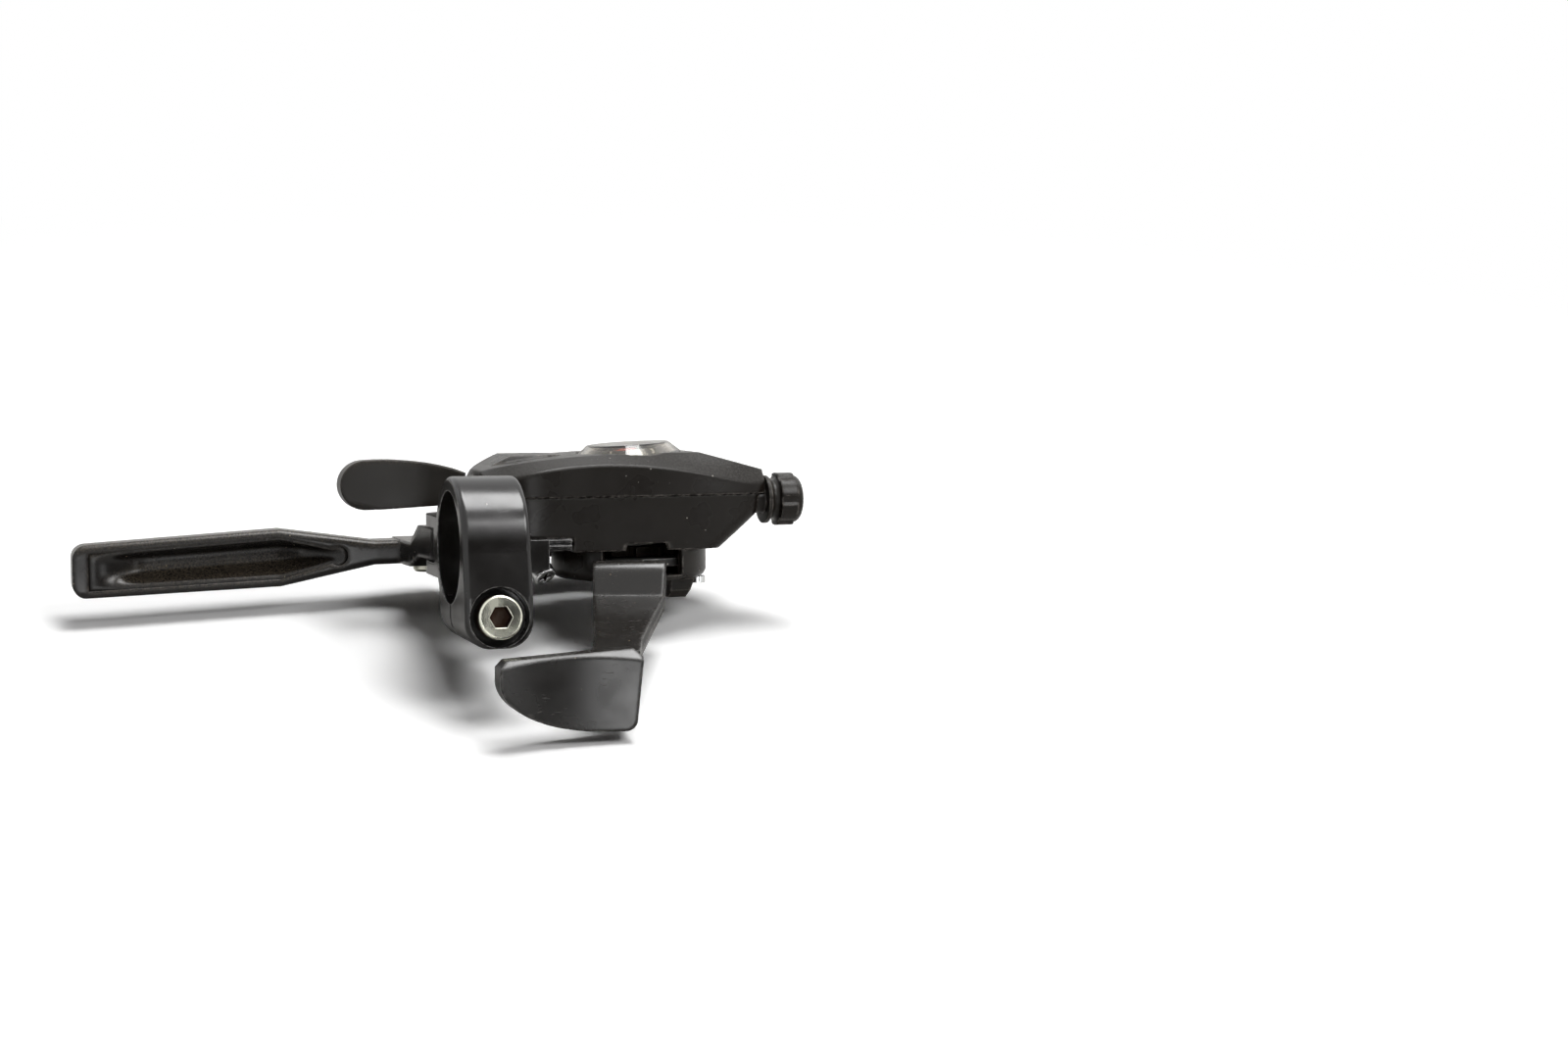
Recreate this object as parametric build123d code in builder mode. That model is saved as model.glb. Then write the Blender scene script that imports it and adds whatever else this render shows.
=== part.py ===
"""Left-hand trigger gear shifter with its brake lever, for a flat handlebar.

The unit is drawn in its lever frame, in millimetres: X runs along the handlebar towards the
stem, Y points forward over the front wheel, Z is square to the plane that the levers swing in.
The origin is the centre of the handlebar clamp. When a piece is written, it is tipped about the
handlebar, nose down, so that +Z is up as the unit lies on a bench.
"""

import os
from math import cos, radians, sin, tan

from build123d import *

os.makedirs("parts", exist_ok=True)

# Set-up
nose_down = 12.8  # tip of the lever plane about the handlebar, degrees
running_gap = 0.05  # radial clearance of a turning fit
pass_gap = 0.5  # clearance between pieces that pass each other
thread_gap = 0.05  # room round a screw in its hole, where the thread is
through = 40.0  # length of a cut that goes right through

# Handlebar clamp
bar_radius = 11.1
clamp_wall = 2.8
clamp_width = 13.4
clamp_edge = 1.1  # rounding of the band's edges
bar_relief = 0.8  # room round the handlebar beside the band
lug_front = 15.4  # how far the lug stands out towards the rider
lug_back = 8.0
lug_shoulder = 8.5
lug_depth = 18.6  # how far it hangs below the handlebar's centre
lug_corner = 5.2
clamp_slit = 1.2
slit_y = -1.2
bolt_slope = 6.0  # the clamp bolt dips this much as it goes forward, degrees
bolt_drop = 12.3  # from the handlebar's centre down to the centre of the bolt's head
bolt_face = 16.4  # from the handlebar's centre to the face of the bolt's head
bolt_radius = 2.5
bolt_head_radius = 4.3
bolt_head_height = 4.6
bolt_edge = 0.5  # rounding of the head's rim
bolt_socket, bolt_socket_depth = 4.0, 3.0  # across flats, and how deep
bolt_length = 16.0
spot_gap = 1.5  # room around the bolt's head
cheek_root = 6.0  # how far forward of the handlebar's centre the cheeks start

# Brake lever, its pivot and its cable hook
pivot_x, pivot_y = 1.0, 26.0
pivot_radius = 3.0
bush_wall = 1.0
hub_radius = 6.4
hub_thickness = 6.6
hub_z = -1.2
cheek_radius = 7.0
cheek_thickness = 2.6
cheek_gap = 0.25
lever_side = 6.4  # inboard flank of the lever, where it meets its stop
lever_thickness = 5.1
lever_z = -4.5
hook_x, hook_y = -1.0, 54.0
hook_radius = 2.6
hook_length = 8.4
hook_slot = 1.8
blade_tip = -74.8
blade_rim = 1.7
blade_web = 2.4
blade_corner = 1.5  # rounding of the blade's long edges
blade_end = 3.0  # rounding of its tip
blade_start = -18.5  # where the channel in the blade begins
channel_end = 3.2  # wall left at the tip
channel_ramp = 11.0  # the channel's floor rises over this length before the tip
elbow_out, elbow_in, elbow_back = 6.4, 4.6, 9.0  # the lever's corner, about the cable hook
elbow_far = 58.4
shank_flare = 8.2  # how far from the pivot the hub's full thickness runs
hook_flat = 14.0  # how far from the hook the shank's slope ends
hook_edge = 0.5

# Bracket arm and brake cable boss
arm_inner, arm_outer = 8.8, 16.6
arm_near = 12.4
arm_bottom = -6.6
web_near, web_far = 49.0, 59.0
cable_z = -5.2
boss_radius = 6.2
boss_start, boss_end = 34.0, 45.0
cable_channel = 3.2
barrel_thread = 4.6
barrel_collar = 6.5
barrel_bore = 1.1
ferrule_radius = 2.5
ferrule_depth = 6.0
reach_y = 40.0
reach_radius = 2.0
reach_end = 1.0  # how far it stands out of the arm
reach_socket, reach_socket_depth = 2.0, 2.5
pin_head = 1.2  # thickness of the lever axle's head
clip_thickness = 0.8
clip_radius = 4.4
clip_mouth = 2.4
arm_corner = 2.0
seat_reach = 22.0  # inboard edge of the ledge that the pod sits on
seat_near, seat_far = 15.4, 24.0
seat_depth = 2.6
rib_width, rib_height = 0.5, 0.5
rib_levels = [0.8, 2.0]  # below the top of the ledge
unit_screw_at = (15.6, 16.0, -6.4)
unit_screw_way = (0.3, -0.62, -0.72)  # the way its head points
unit_screw_length = 10.0
unit_screw_radius = 1.5
unit_head_radius, unit_head_height = 2.4, 2.2
unit_head_edge = 0.5
cross_length, cross_width, cross_depth = 2.8, 0.7, 1.2
barrel_gap = 3.2  # from the boss to the brake barrel's collar
collar_grip = 6.0  # length of that collar
barrel_nose, barrel_nose_length = 4.2, 3.5
knurl_count, knurl_radius = 12, 0.9
lock_gap = 0.4

# Shift pod
axle_x, axle_y = 38.2, 30.0
part_line = 8.4  # height of the joint between the two covers
cover_wall = 1.6
cover_step = 0.35  # the lower cover's walls stand in this far from the upper cover's
cover_edge = 0.7  # rounding of the upper cover's long edges
bevel = 5.0  # width of the sloping band round the upper cover
draft = 0.8  # how far the lower cover's walls lean in towards its floor
pod_front = 46.4
pod_bottom = -3.0
pod_crown = 17.1
end_slope_x, end_slope = 50.9, 15.3  # where the crown starts to fall towards the stem, and how steeply
floor_thickness = 1.5
notch_x = 22.5  # the floor steps up here to sit on the bracket
notch_z = 0.0
lower_start = 10.6
slant_x, slant_top = 54.8, 64.2  # inboard end of the lower cover, at its bottom and its top
slant_bend_x, slant_bend_z = 62.2, 3.2  # where that end turns steeper
slant_corner = 3.0
mouth_radius = 15.0  # hole in the floor for the mechanism
cap_radius = 16.5
cap_wall = 1.4
cap_floor = 1.2
cap_bottom = -9.5
cap_edge = 2.0
window_from, window_to = -35.0, 27.5  # opening for the thumb lever, from straight back, degrees
stop_left, stop_right, stop_narrow = 6.4, 11.7, 1.6  # wedge under the cap, from the axle inboard
stop_near, stop_far = -10.0, -4.0  # the same, forward of the axle
stop_drop = 4.1
nose_x, pod_end = 5.5, 64.6
hump_x, hump_y = 15.6, 35.0  # raised back over the release lever's pivot
hump_length, hump_width, hump_corner = 20.0, 17.0, 6.0
hump_low, hump_top = 12.8, 16.6
hump_taper = 24.0
hump_start, hump_slope = 12.4, 26.0  # where its top starts to fall outboard, and how steeply

# Indicator on the pod
dial_tilt = 3.4  # the dial rises towards the stem, degrees
dial_z = 16.0
lens_radius = 11.3
lens_top_radius = 8.7
lens_height = 2.8
lens_wall = 0.9
lens_rim = 0.6
dial_radius = 10.0
dial_thickness = 1.0
dial_lip = 1.0  # width of the shoulder that the dial sits on
dial_well = 6.0  # depth of the hole under it
scale_outer, scale_top, scale_inner = 9.1, 8.0, 7.5  # sloping ring that carries the numbers
scale_height = 1.2
needle_rest = 40.0  # at rest it points this far outboard of straight back, degrees
needle_pin = 1.0
needle_hub = 1.8
needle_length = 7.0
needle_root, needle_tip = 2.4, 0.7
needle_gap = 0.3
needle_thickness = 0.5
needle_shaft = 3.2

# Shift mechanism
axle_radius = 3.0
axle_stub = 2.6  # how far the axle stands out below the cap
nut_flats, nut_height, nut_edge = 9.0, 2.2, 0.4
plate_thickness = 1.6
plate_z = -6.5  # underside of the thumb lever's plate
plate_radius = 14.4
tooth_count = 12
ratchet_tip = 10.2
ratchet_root = 8.4
tooth_lead, tooth_back = 1.2, 2.2  # how far the tooth's tip and its heel lie off the radius
ratchet_z = -4.7
ratchet_thickness = 2.0
drum_groove = 10.0
drum_flange = 11.2
drum_hub = 7.0
drum_start, drum_end = 3.4, 9.9
groove_z = 6.9
groove_half, groove_mouth = 0.6, 1.2
nipple_radius, nipple_at = 1.9, 8.5  # seat of the cable's end, and its distance from the axle
base_z = 10.3
pawl_pin = 1.0
pawl_eye = 2.0
pawl_half = 1.4
pawl_clear = 0.4  # room left at the teeth
feed_pawl_at, feed_angle, feed_nose = 12.6, -20.0, 8.0  # pin's distance and angle, beak's angle
stop_pawl_at, stop_angle, stop_nose = 12.6, 135.0, 165.0
spring_strip = 0.6
drum_spring_turns, drum_spring_step, drum_spring_z, drum_spring_height = 6, 0.6, -1.2, 4.0
thumb_spring_turns, thumb_spring_step, thumb_spring_height = 6, 0.7, 1.4
release_spring_turns, release_spring_step, release_spring_height = 3, 0.4, 2.0
spring_gap = 0.8  # from what a spring is wound on to its first turn

# Thumb lever
thumb_lean = 18.5  # the arm points this far outboard of straight back, degrees
thumb_bend = 16.0  # from the axle to the bend
thumb_drop = 19.2  # from the axle to the foot of the drop
thumb_low = -13.4
thumb_reach = 58.6
thumb_end = -20.4
bend_radius = 2.0
sleeve_above, sleeve_below = 0.5, 1.3  # skin of the moulded sleeve over and under the steel
sleeve_out, sleeve_in = 6.6, 8.6  # outboard and inboard half widths of the sleeve at its root
sleeve_out_end, sleeve_in_end = 4.2, 5.0  # and at the thumb piece
sleeve_run = 8.0  # the sleeve keeps that width over this last length
steel_inset = 1.8
root_half = 3.8  # half the steel arm's width where it passes the under cap
paddle_width, paddle_height, paddle_depth = 27.2, 15.4, 4.6
paddle_overhang = 4.2  # how far the thumb piece stands out inboard of the arm's end
paddle_rise = 2.8
paddle_shoulder = 5.5  # from its top down to where its outboard end is widest
paddle_sweep = 21.0  # length of the curve from that end to its foot
paddle_slope = 1.4  # its top falls this much towards its outboard end
paddle_corner = 2.2
paddle_hollow = 1.6  # depth of the dished face
paddle_bevel = 2.2  # flat band along the top of the face

# Release lever
release_x, release_y = 16.0, 37.0
release_pin_radius = 1.5
release_post = 3.2
release_z = 8.9
release_thickness = 1.4
release_eye = 2.6
release_end = 4.2  # inboard end of the moulded trigger
release_tang = 12.0  # how far the steel arm goes into it
slot_length, slot_width, slot_shift = 16.0, 11.0, 2.6  # slot in the upper cover for the arm
tang_near, tang_far = -0.2, 2.2  # its edges there, about the trigger's middle
trigger_tip = -21.5
trigger_y = 38.0
trigger_depth = 5.2
trigger_crown, trigger_keel = 15.5, 5.1
trigger_neck_top, trigger_neck_low = 12.8, 6.3  # its height where it meets the pod
trigger_bow = 1.2
trigger_sweep = 3.6  # its tip stands forward by this much
facet_x, facet_z = -12.3, 7.2  # flat cut on the lower corner of the tip
facet_depth = 0.4

# Gear cable's barrel adjuster
shift_y = axle_y - drum_groove
flange_radius, flange_length = 5.1, 0.8
waist_radius = 4.1
collar_radius = 5.6
stub_radius = 2.9
stub_length = 7.0
barrel_clear = 0.4  # from the pod's end to the barrel
neck_length = 2.8
collar_length = 3.6
dome_length = 1.6
dome_radius = 3.9
lobe_count, lobe_radius, lobe_at = 6, 1.3, 6.3

# Screws of the covers
screw_spots = [(19.6, 19.6), (20.6, 41.4), (52.6, 39.6)]
screw_radius = 1.2
screw_head = 1.7
screw_head_height = 1.4
screw_bite = 1.6  # how far they go into the upper cover
post_radius = 2.1
post_height = 2.2
cap_screw_spots = [(52.0, 25.0), (29.0, 42.0)]

# Plug of the hole for threading the gear cable
plug_x, plug_z = 30.0, 4.0
plug_radius = 2.2
plug_flange, plug_flange_height = 3.1, 0.9
plug_length = 2.2
plug_seat = pod_front - cover_step + running_gap

ring_radius = bar_radius + clamp_wall
cheek_bottom = hub_z - hub_thickness / 2 - cheek_gap - cheek_thickness
cheek_top = hub_z + hub_thickness / 2 + cheek_gap + cheek_thickness
base_top = base_z + plate_thickness
axle = (axle_x, axle_y)


def write(name, solid):
    """Tip one finished piece with the whole unit, label it and write it."""
    solid = solid.rotate(Axis.X, -nose_down)
    solid.label = name
    export_step(solid, f"parts/{name}.step")


# Bracket: the band, its lug, the lever's cheeks and the cable boss are one casting
bolt_plane = Plane(
    origin=(0, -bolt_face, -bolt_drop),
    x_dir=(1, 0, 0),
    z_dir=(0, -cos(radians(bolt_slope)), sin(radians(bolt_slope))),
)
unit_screw_plane = Plane(origin=unit_screw_at, x_dir=(1, 0, 0), z_dir=unit_screw_way)
boss_root = boss_start + arm_corner

with BuildPart() as bracket:
    with BuildSketch(Plane.YZ.offset(-clamp_width / 2)):
        Circle(ring_radius)
        with BuildLine():
            Polyline(
                (0, 0),
                (-ring_radius, 0),
                (-lug_front, -lug_shoulder),
                (-lug_front, -lug_depth),
                (lug_back, -lug_depth),
                (ring_radius - clamp_wall, -lug_shoulder),
                close=True,
            )
        make_face()
    extrude(amount=clamp_width)
    fillet(edges().filter_by(Axis.Y).group_by(Axis.Z)[0], lug_corner)
    fillet(faces().filter_by(Axis.X).edges(), clamp_edge)
    with BuildSketch(Plane.XY.offset(cheek_bottom)):
        with BuildLine():
            Polyline(
                (-clamp_width / 2 + clamp_edge, cheek_root),
                (clamp_width / 2 - clamp_edge, cheek_root),
                (arm_inner, arm_near),
                (arm_inner, pivot_y),
                (pivot_x - cheek_radius, pivot_y),
                close=True,
            )
        make_face()
        with Locations((pivot_x, pivot_y)):
            Circle(cheek_radius)
    extrude(amount=cheek_top - cheek_bottom)
    with BuildSketch(Plane.XY.offset(arm_bottom)):
        with BuildLine():
            Polyline(
                (arm_inner, arm_near),
                (arm_outer, arm_near),
                (arm_outer, web_near),
                (boss_root, web_near),
                (boss_root, web_far),
                (arm_inner, web_far),
                close=True,
            )
        make_face()
    extrude(amount=notch_z - arm_bottom)
    fillet(edges().filter_by(Axis.Z).filter_by_position(Axis.Y, web_near - 1, web_far + 1), arm_corner)
    with BuildSketch(Plane.XY.offset(notch_z - seat_depth)):
        with BuildLine():
            Polyline(
                (arm_inner, seat_near),
                (seat_reach, seat_near),
                (seat_reach, seat_far),
                (arm_inner, seat_far),
                close=True,
            )
        make_face()
    extrude(amount=seat_depth)
    for level in rib_levels:
        with BuildSketch(Plane.XY.offset(notch_z - level)):
            with BuildLine():
                Polyline(
                    (arm_outer, seat_near - rib_width),
                    (seat_reach, seat_near - rib_width),
                    (seat_reach, seat_near),
                    (arm_outer, seat_near),
                    close=True,
                )
            make_face()
        extrude(amount=rib_height)
    with BuildSketch(Plane.YZ.offset(boss_start)):
        with Locations((hook_y, cable_z)):
            Circle(boss_radius)
    extrude(amount=boss_end - boss_start)
    with BuildSketch(Plane.YZ.offset(-clamp_width)):
        Circle(bar_radius)
    extrude(amount=2 * clamp_width, mode=Mode.SUBTRACT)
    with BuildSketch(Plane.YZ.offset(clamp_width / 2)):
        Circle(bar_radius + bar_relief)
    extrude(amount=clamp_width, mode=Mode.SUBTRACT)
    with BuildSketch(Plane.XY.offset(hub_z - hub_thickness / 2 - cheek_gap)):
        with BuildLine():
            Polyline(
                (-clamp_width, pivot_y - hub_radius - pass_gap),
                (arm_inner, pivot_y - hub_radius - pass_gap),
                (arm_inner, web_far),
                (-clamp_width, web_far),
                close=True,
            )
        make_face()
    extrude(amount=hub_thickness + 2 * cheek_gap, mode=Mode.SUBTRACT)
    with BuildSketch(Plane.XY.offset(cheek_bottom)):
        with Locations((pivot_x, pivot_y)):
            Circle(pivot_radius)
    extrude(amount=cheek_top - cheek_bottom, mode=Mode.SUBTRACT)
    with BuildSketch(Plane.YZ.offset(-clamp_width)):
        with Locations((slit_y, -lug_depth)):
            Rectangle(clamp_slit, 2 * (lug_depth - bar_radius) + clamp_wall)
    extrude(amount=clamp_width + arm_inner, mode=Mode.SUBTRACT)
    with BuildSketch(bolt_plane.offset(-bolt_head_height)):
        Circle(bolt_head_radius + spot_gap)
    extrude(amount=2 * bolt_head_height, mode=Mode.SUBTRACT)
    with BuildSketch(bolt_plane.offset(-bolt_head_height)):
        Circle(bolt_radius + thread_gap)
    extrude(amount=-bolt_length, mode=Mode.SUBTRACT)
    with BuildSketch(Plane.YZ.offset(arm_inner)):
        with Locations((hook_y, arm_bottom)):
            Rectangle(cable_channel, 2 * (cable_z - arm_bottom) + cable_channel)
    extrude(amount=boss_start - arm_inner, mode=Mode.SUBTRACT)
    with BuildSketch(Plane.YZ.offset(boss_start)):
        with Locations((hook_y, cable_z)):
            Circle(barrel_thread + running_gap)
    extrude(amount=boss_end - boss_start, mode=Mode.SUBTRACT)
    with BuildSketch(Plane.YZ.offset(arm_inner)):
        with Locations((reach_y, lever_z)):
            Circle(reach_radius)
    extrude(amount=arm_outer - arm_inner, mode=Mode.SUBTRACT)
    with BuildSketch(unit_screw_plane):
        Circle(unit_head_radius + pass_gap)
    extrude(amount=through, mode=Mode.SUBTRACT)
    with BuildSketch(unit_screw_plane):
        Circle(unit_screw_radius + thread_gap)
    extrude(amount=-unit_screw_length, mode=Mode.SUBTRACT)

write("bracket", bracket.part)

# Clamp bolt: socket head, pulling the lug's two ears together
with BuildPart() as clamp_bolt:
    with BuildSketch(bolt_plane):
        Circle(bolt_head_radius)
    extrude(amount=-bolt_head_height)
    fillet(edges().filter_by(GeomType.CIRCLE).sort_by(Axis.Y)[0], bolt_edge)
    with BuildSketch(bolt_plane.offset(-bolt_head_height)):
        Circle(bolt_radius)
    extrude(amount=-bolt_length + thread_gap)
    with BuildSketch(bolt_plane):
        RegularPolygon(bolt_socket / 2, 6, major_radius=False)
    extrude(amount=-bolt_socket_depth, mode=Mode.SUBTRACT)

write("clamp_bolt", clamp_bolt.part)

# Unit screw: cross-head screw that holds the shift pod down on the bracket
with BuildPart() as unit_screw:
    with BuildSketch(unit_screw_plane):
        Circle(unit_head_radius)
    extrude(amount=unit_head_height)
    fillet(edges().filter_by(GeomType.CIRCLE).sort_by(Axis.Z)[0], unit_head_edge)
    with BuildSketch(unit_screw_plane.offset(unit_head_height)):
        Rectangle(cross_length, cross_width)
        Rectangle(cross_width, cross_length)
    extrude(amount=-cross_depth, mode=Mode.SUBTRACT)
    with BuildSketch(unit_screw_plane):
        Circle(unit_screw_radius)
    extrude(amount=-unit_screw_length)

write("unit_screw", unit_screw.part)

# Reach screw: grub screw in the bracket's arm that the lever rests against
with BuildPart() as reach_screw:
    with BuildSketch(Plane.YZ.offset(lever_side)):
        with Locations((reach_y, lever_z)):
            Circle(reach_radius)
    extrude(amount=arm_outer + reach_end - lever_side)
    with BuildSketch(Plane.YZ.offset(arm_outer + reach_end)):
        with Locations((reach_y, lever_z)):
            RegularPolygon(reach_socket / 2, 6, major_radius=False)
    extrude(amount=-reach_socket_depth, mode=Mode.SUBTRACT)

write("reach_screw", reach_screw.part)

# Lever axle: headed pin through both cheeks, held by a clip
with BuildPart() as lever_axle:
    with BuildSketch(Plane.XY.offset(cheek_bottom - pin_head)):
        with Locations((pivot_x, pivot_y)):
            Circle(clip_radius)
    extrude(amount=pin_head)
    with BuildSketch(Plane.XY.offset(cheek_bottom)):
        with Locations((pivot_x, pivot_y)):
            Circle(pivot_radius)
    extrude(amount=cheek_top - cheek_bottom + clip_thickness)

write("lever_axle", lever_axle.part)

with BuildPart() as axle_clip:
    with BuildSketch(Plane.XY.offset(cheek_top)):
        with Locations((pivot_x, pivot_y)):
            Circle(clip_radius)
            Circle(pivot_radius, mode=Mode.SUBTRACT)
        with Locations((pivot_x - clip_radius, pivot_y)):
            Rectangle(clip_radius, clip_mouth, mode=Mode.SUBTRACT)
    extrude(amount=clip_thickness)

write("axle_clip", axle_clip.part)

# Brake lever: hub and shank, and a blade with a channelled back, cast in one piece. Each row is
# one cross-section of the blade: its place, its rider's side, finger side, underside and top
blade_rows = [
    (2.0, 47.0, 58.2, -7.0, -2.0),
    (-12.6, 49.4, 58.0, -7.4, -2.2),
    (-32.4, 50.7, 58.7, -11.6, 0.6),
    (blade_tip, 52.8, 60.2, -13.2, -2.0),
]
shank_top, shank_low = lever_z + lever_thickness / 2, lever_z - lever_thickness / 2
hub_top, hub_low = hub_z + hub_thickness / 2, hub_z - hub_thickness / 2

with BuildPart() as lever_arm:
    with BuildSketch(Plane.XY.offset(-through / 2)):
        with BuildLine():
            Polyline(
                (pivot_x - hub_radius, pivot_y),
                (hook_x - elbow_out, hook_y - elbow_back),
                (hook_x - elbow_out, elbow_far),
                (hook_x + elbow_in, elbow_far),
                (lever_side, hook_y - elbow_in / 2),
                (lever_side, pivot_y + bush_wall + pivot_radius),
                (pivot_x, pivot_y),
                close=True,
            )
        make_face()
    extrude(amount=through)
    with BuildSketch(Plane.YZ.offset(-through / 2)):
        with BuildLine():
            Polyline(
                (pivot_y, hub_top),
                (pivot_y + shank_flare, hub_top),
                (hook_y - hook_flat, shank_top),
                (elbow_far, shank_top),
                (elbow_far, shank_low),
                (hook_y - hook_flat, shank_low),
                (pivot_y + shank_flare, hub_low),
                (pivot_y, hub_low),
                close=True,
            )
        make_face()
    extrude(amount=through, mode=Mode.INTERSECT)

_, tip_near, _, tip_low, tip_top = blade_rows[-1]
mid_x, _, mid_far, mid_low, mid_top = blade_rows[-2]
# height of the blade's edges where the rounding of its tip begins
round_share = blade_end / (mid_x - blade_tip)
round_low = tip_low + round_share * (mid_low - tip_low)
round_top = tip_top + round_share * (mid_top - tip_top)
with BuildPart() as blade:
    for x, near, far, low, top in blade_rows:
        with BuildSketch(Plane.YZ.offset(x)):
            with Locations(((near + far) / 2, (low + top) / 2)):
                RectangleRounded(far - near, top - low, blade_corner)
    loft(ruled=True)
    with BuildSketch(Plane.XZ.offset(-through - mid_far)):
        for corner_z, side in ((round_top, 1), (round_low, -1)):
            with Locations((blade_tip + blade_end / 2, corner_z)):
                Rectangle(blade_end, 2 * blade_end)
            with Locations((blade_tip + blade_end, corner_z - side * blade_end)):
                Circle(blade_end, mode=Mode.SUBTRACT)
    extrude(amount=2 * through, mode=Mode.SUBTRACT)

with BuildPart() as channel:
    with BuildSketch(Plane.XY.offset(-through / 2)):
        with BuildLine():
            floor_line = Spline(
                (blade_start + channel_end, blade_rows[1][2] - blade_web),
                (mid_x, mid_far - blade_web),
                (blade_tip + channel_end + channel_ramp, mid_far - blade_web),
                (blade_tip + channel_end, tip_near + blade_rim),
            )
            Polyline(
                floor_line @ 1,
                (blade_tip + channel_end, tip_near - through),
                (blade_start + channel_end, tip_near - through),
                floor_line @ 0,
            )
        make_face()
    extrude(amount=through)
    with BuildSketch(Plane.XZ.offset(-through - mid_far)):
        with BuildLine():
            rim_top = Polyline(
                (blade_start - channel_end, shank_top - blade_rim),
                (mid_x, mid_top - blade_rim),
                (blade_tip + channel_end, tip_top - blade_rim),
            )
            rim_low = Polyline(
                (blade_start - channel_end, shank_low - blade_corner + blade_rim),
                (mid_x, mid_low + blade_rim),
                (blade_tip + channel_end, tip_low + blade_rim),
            )
            Line(rim_top @ 1, rim_low @ 1)
            ThreePointArc(rim_top @ 0, (blade_start, lever_z), rim_low @ 0)
        make_face()
    extrude(amount=2 * through, mode=Mode.INTERSECT)

with BuildPart() as brake_lever:
    with BuildSketch(Plane.XY.offset(hub_low)):
        with Locations((pivot_x, pivot_y)):
            Circle(hub_radius)
    extrude(amount=hub_thickness)
    add(lever_arm.part)
    add(blade.part)
    add(channel.part, mode=Mode.SUBTRACT)
    with BuildSketch(Plane.XY.offset(-through / 2)):
        with Locations((pivot_x, pivot_y)):
            Circle(pivot_radius + bush_wall)
        with Locations((hook_x, hook_y)):
            Circle(hook_radius + running_gap)
    extrude(amount=through, mode=Mode.SUBTRACT)

write("brake_lever", brake_lever.part)

with BuildPart() as lever_bush:
    with BuildSketch(Plane.XY.offset(hub_low)):
        with Locations((pivot_x, pivot_y)):
            Circle(pivot_radius + bush_wall)
            Circle(pivot_radius + running_gap, mode=Mode.SUBTRACT)
    extrude(amount=hub_thickness)

write("lever_bush", lever_bush.part)

# Cable hook: turning drum in the lever, slotted for the brake cable and its end
with BuildPart() as cable_hook:
    with BuildSketch(Plane.XY.offset(cable_z - hook_length / 2)):
        with Locations((hook_x, hook_y)):
            Circle(hook_radius)
    extrude(amount=hook_length)
    chamfer(edges().filter_by(GeomType.CIRCLE), hook_edge)
    with BuildSketch(Plane.YZ.offset(hook_x)):
        with Locations((hook_y, cable_z)):
            Rectangle(2 * hook_radius, hook_slot)
    extrude(amount=2 * hook_radius, mode=Mode.SUBTRACT)

write("cable_hook", cable_hook.part)

# Brake cable's barrel adjuster and its lock ring
collar_x = boss_end + barrel_gap
brake_barrel_end = collar_x + collar_grip + barrel_nose_length
with BuildPart() as brake_barrel:
    with BuildSketch(Plane.YZ.offset(boss_start + lock_gap)):
        with Locations((hook_y, cable_z)):
            Circle(barrel_thread)
    extrude(amount=collar_x - boss_start - lock_gap)
    with BuildSketch(Plane.YZ.offset(collar_x)):
        with Locations((hook_y, cable_z)):
            Circle(barrel_collar)
            with PolarLocations(barrel_collar, knurl_count):
                Circle(knurl_radius, mode=Mode.SUBTRACT)
    extrude(amount=collar_grip)
    with BuildSketch(Plane.YZ.offset(collar_x + collar_grip)):
        with Locations((hook_y, cable_z)):
            Circle(barrel_nose)
    extrude(amount=barrel_nose_length)
    chamfer(edges().filter_by(GeomType.CIRCLE).sort_by(Axis.X)[-1], lock_gap)
    with BuildSketch(Plane.YZ.offset(boss_start)):
        with Locations((hook_y, cable_z)):
            Circle(barrel_bore)
    extrude(amount=brake_barrel_end - boss_start, mode=Mode.SUBTRACT)
    with BuildSketch(Plane.YZ.offset(brake_barrel_end)):
        with Locations((hook_y, cable_z)):
            Circle(ferrule_radius)
    extrude(amount=-ferrule_depth, mode=Mode.SUBTRACT)

write("brake_barrel", brake_barrel.part)

with BuildPart() as barrel_locknut:
    with BuildSketch(Plane.YZ.offset(boss_end)):
        with Locations((hook_y, cable_z)):
            Circle(barrel_collar)
            with PolarLocations(barrel_collar, knurl_count):
                Circle(knurl_radius, mode=Mode.SUBTRACT)
            Circle(barrel_thread + running_gap, mode=Mode.SUBTRACT)
    extrude(amount=barrel_gap - lock_gap)

write("barrel_locknut", barrel_locknut.part)

# Pod covers: two moulded shells that meet at the part line. Each row is one cross-section:
# its place along the pod, its rear wall, its shoulder, its crown and its front wall
pod_rows = [
    (nose_x, 21.5, 11.4, 13.5, 42.0),
    (12.0, 14.8, 13.0, 15.3, 45.0),
    (25.0, 14.5, 14.9, 16.6, pod_front),
    (38.0, 14.5, 14.6, pod_crown, pod_front),
    (50.0, 14.7, 12.8, pod_crown, 45.2),
    (56.0, 15.1, 11.5, pod_crown, 42.4),
    (pod_end, 17.2, 11.1, pod_crown, 33.0),
]
crown_fall = Plane(
    origin=(end_slope_x, axle_y, pod_crown),
    x_dir=(0, 1, 0),
    z_dir=(sin(radians(end_slope)), 0, cos(radians(end_slope))),
)


def upper_form(inset):
    """Solid of the upper cover, or of its hollow when the wall is passed as the inset."""
    with BuildPart() as form:
        for x, rear, shoulder, crown, front in pod_rows:
            with BuildSketch(Plane.YZ.offset(x)):
                with BuildLine():
                    Polyline(
                        (rear + inset, part_line),
                        (rear + inset, shoulder - inset / 2),
                        (rear + bevel, crown - inset),
                        (front - bevel, crown - inset),
                        (front - inset, shoulder - inset / 2),
                        (front - inset, part_line),
                        close=True,
                    )
                make_face()
        loft()
    return form.part


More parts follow.
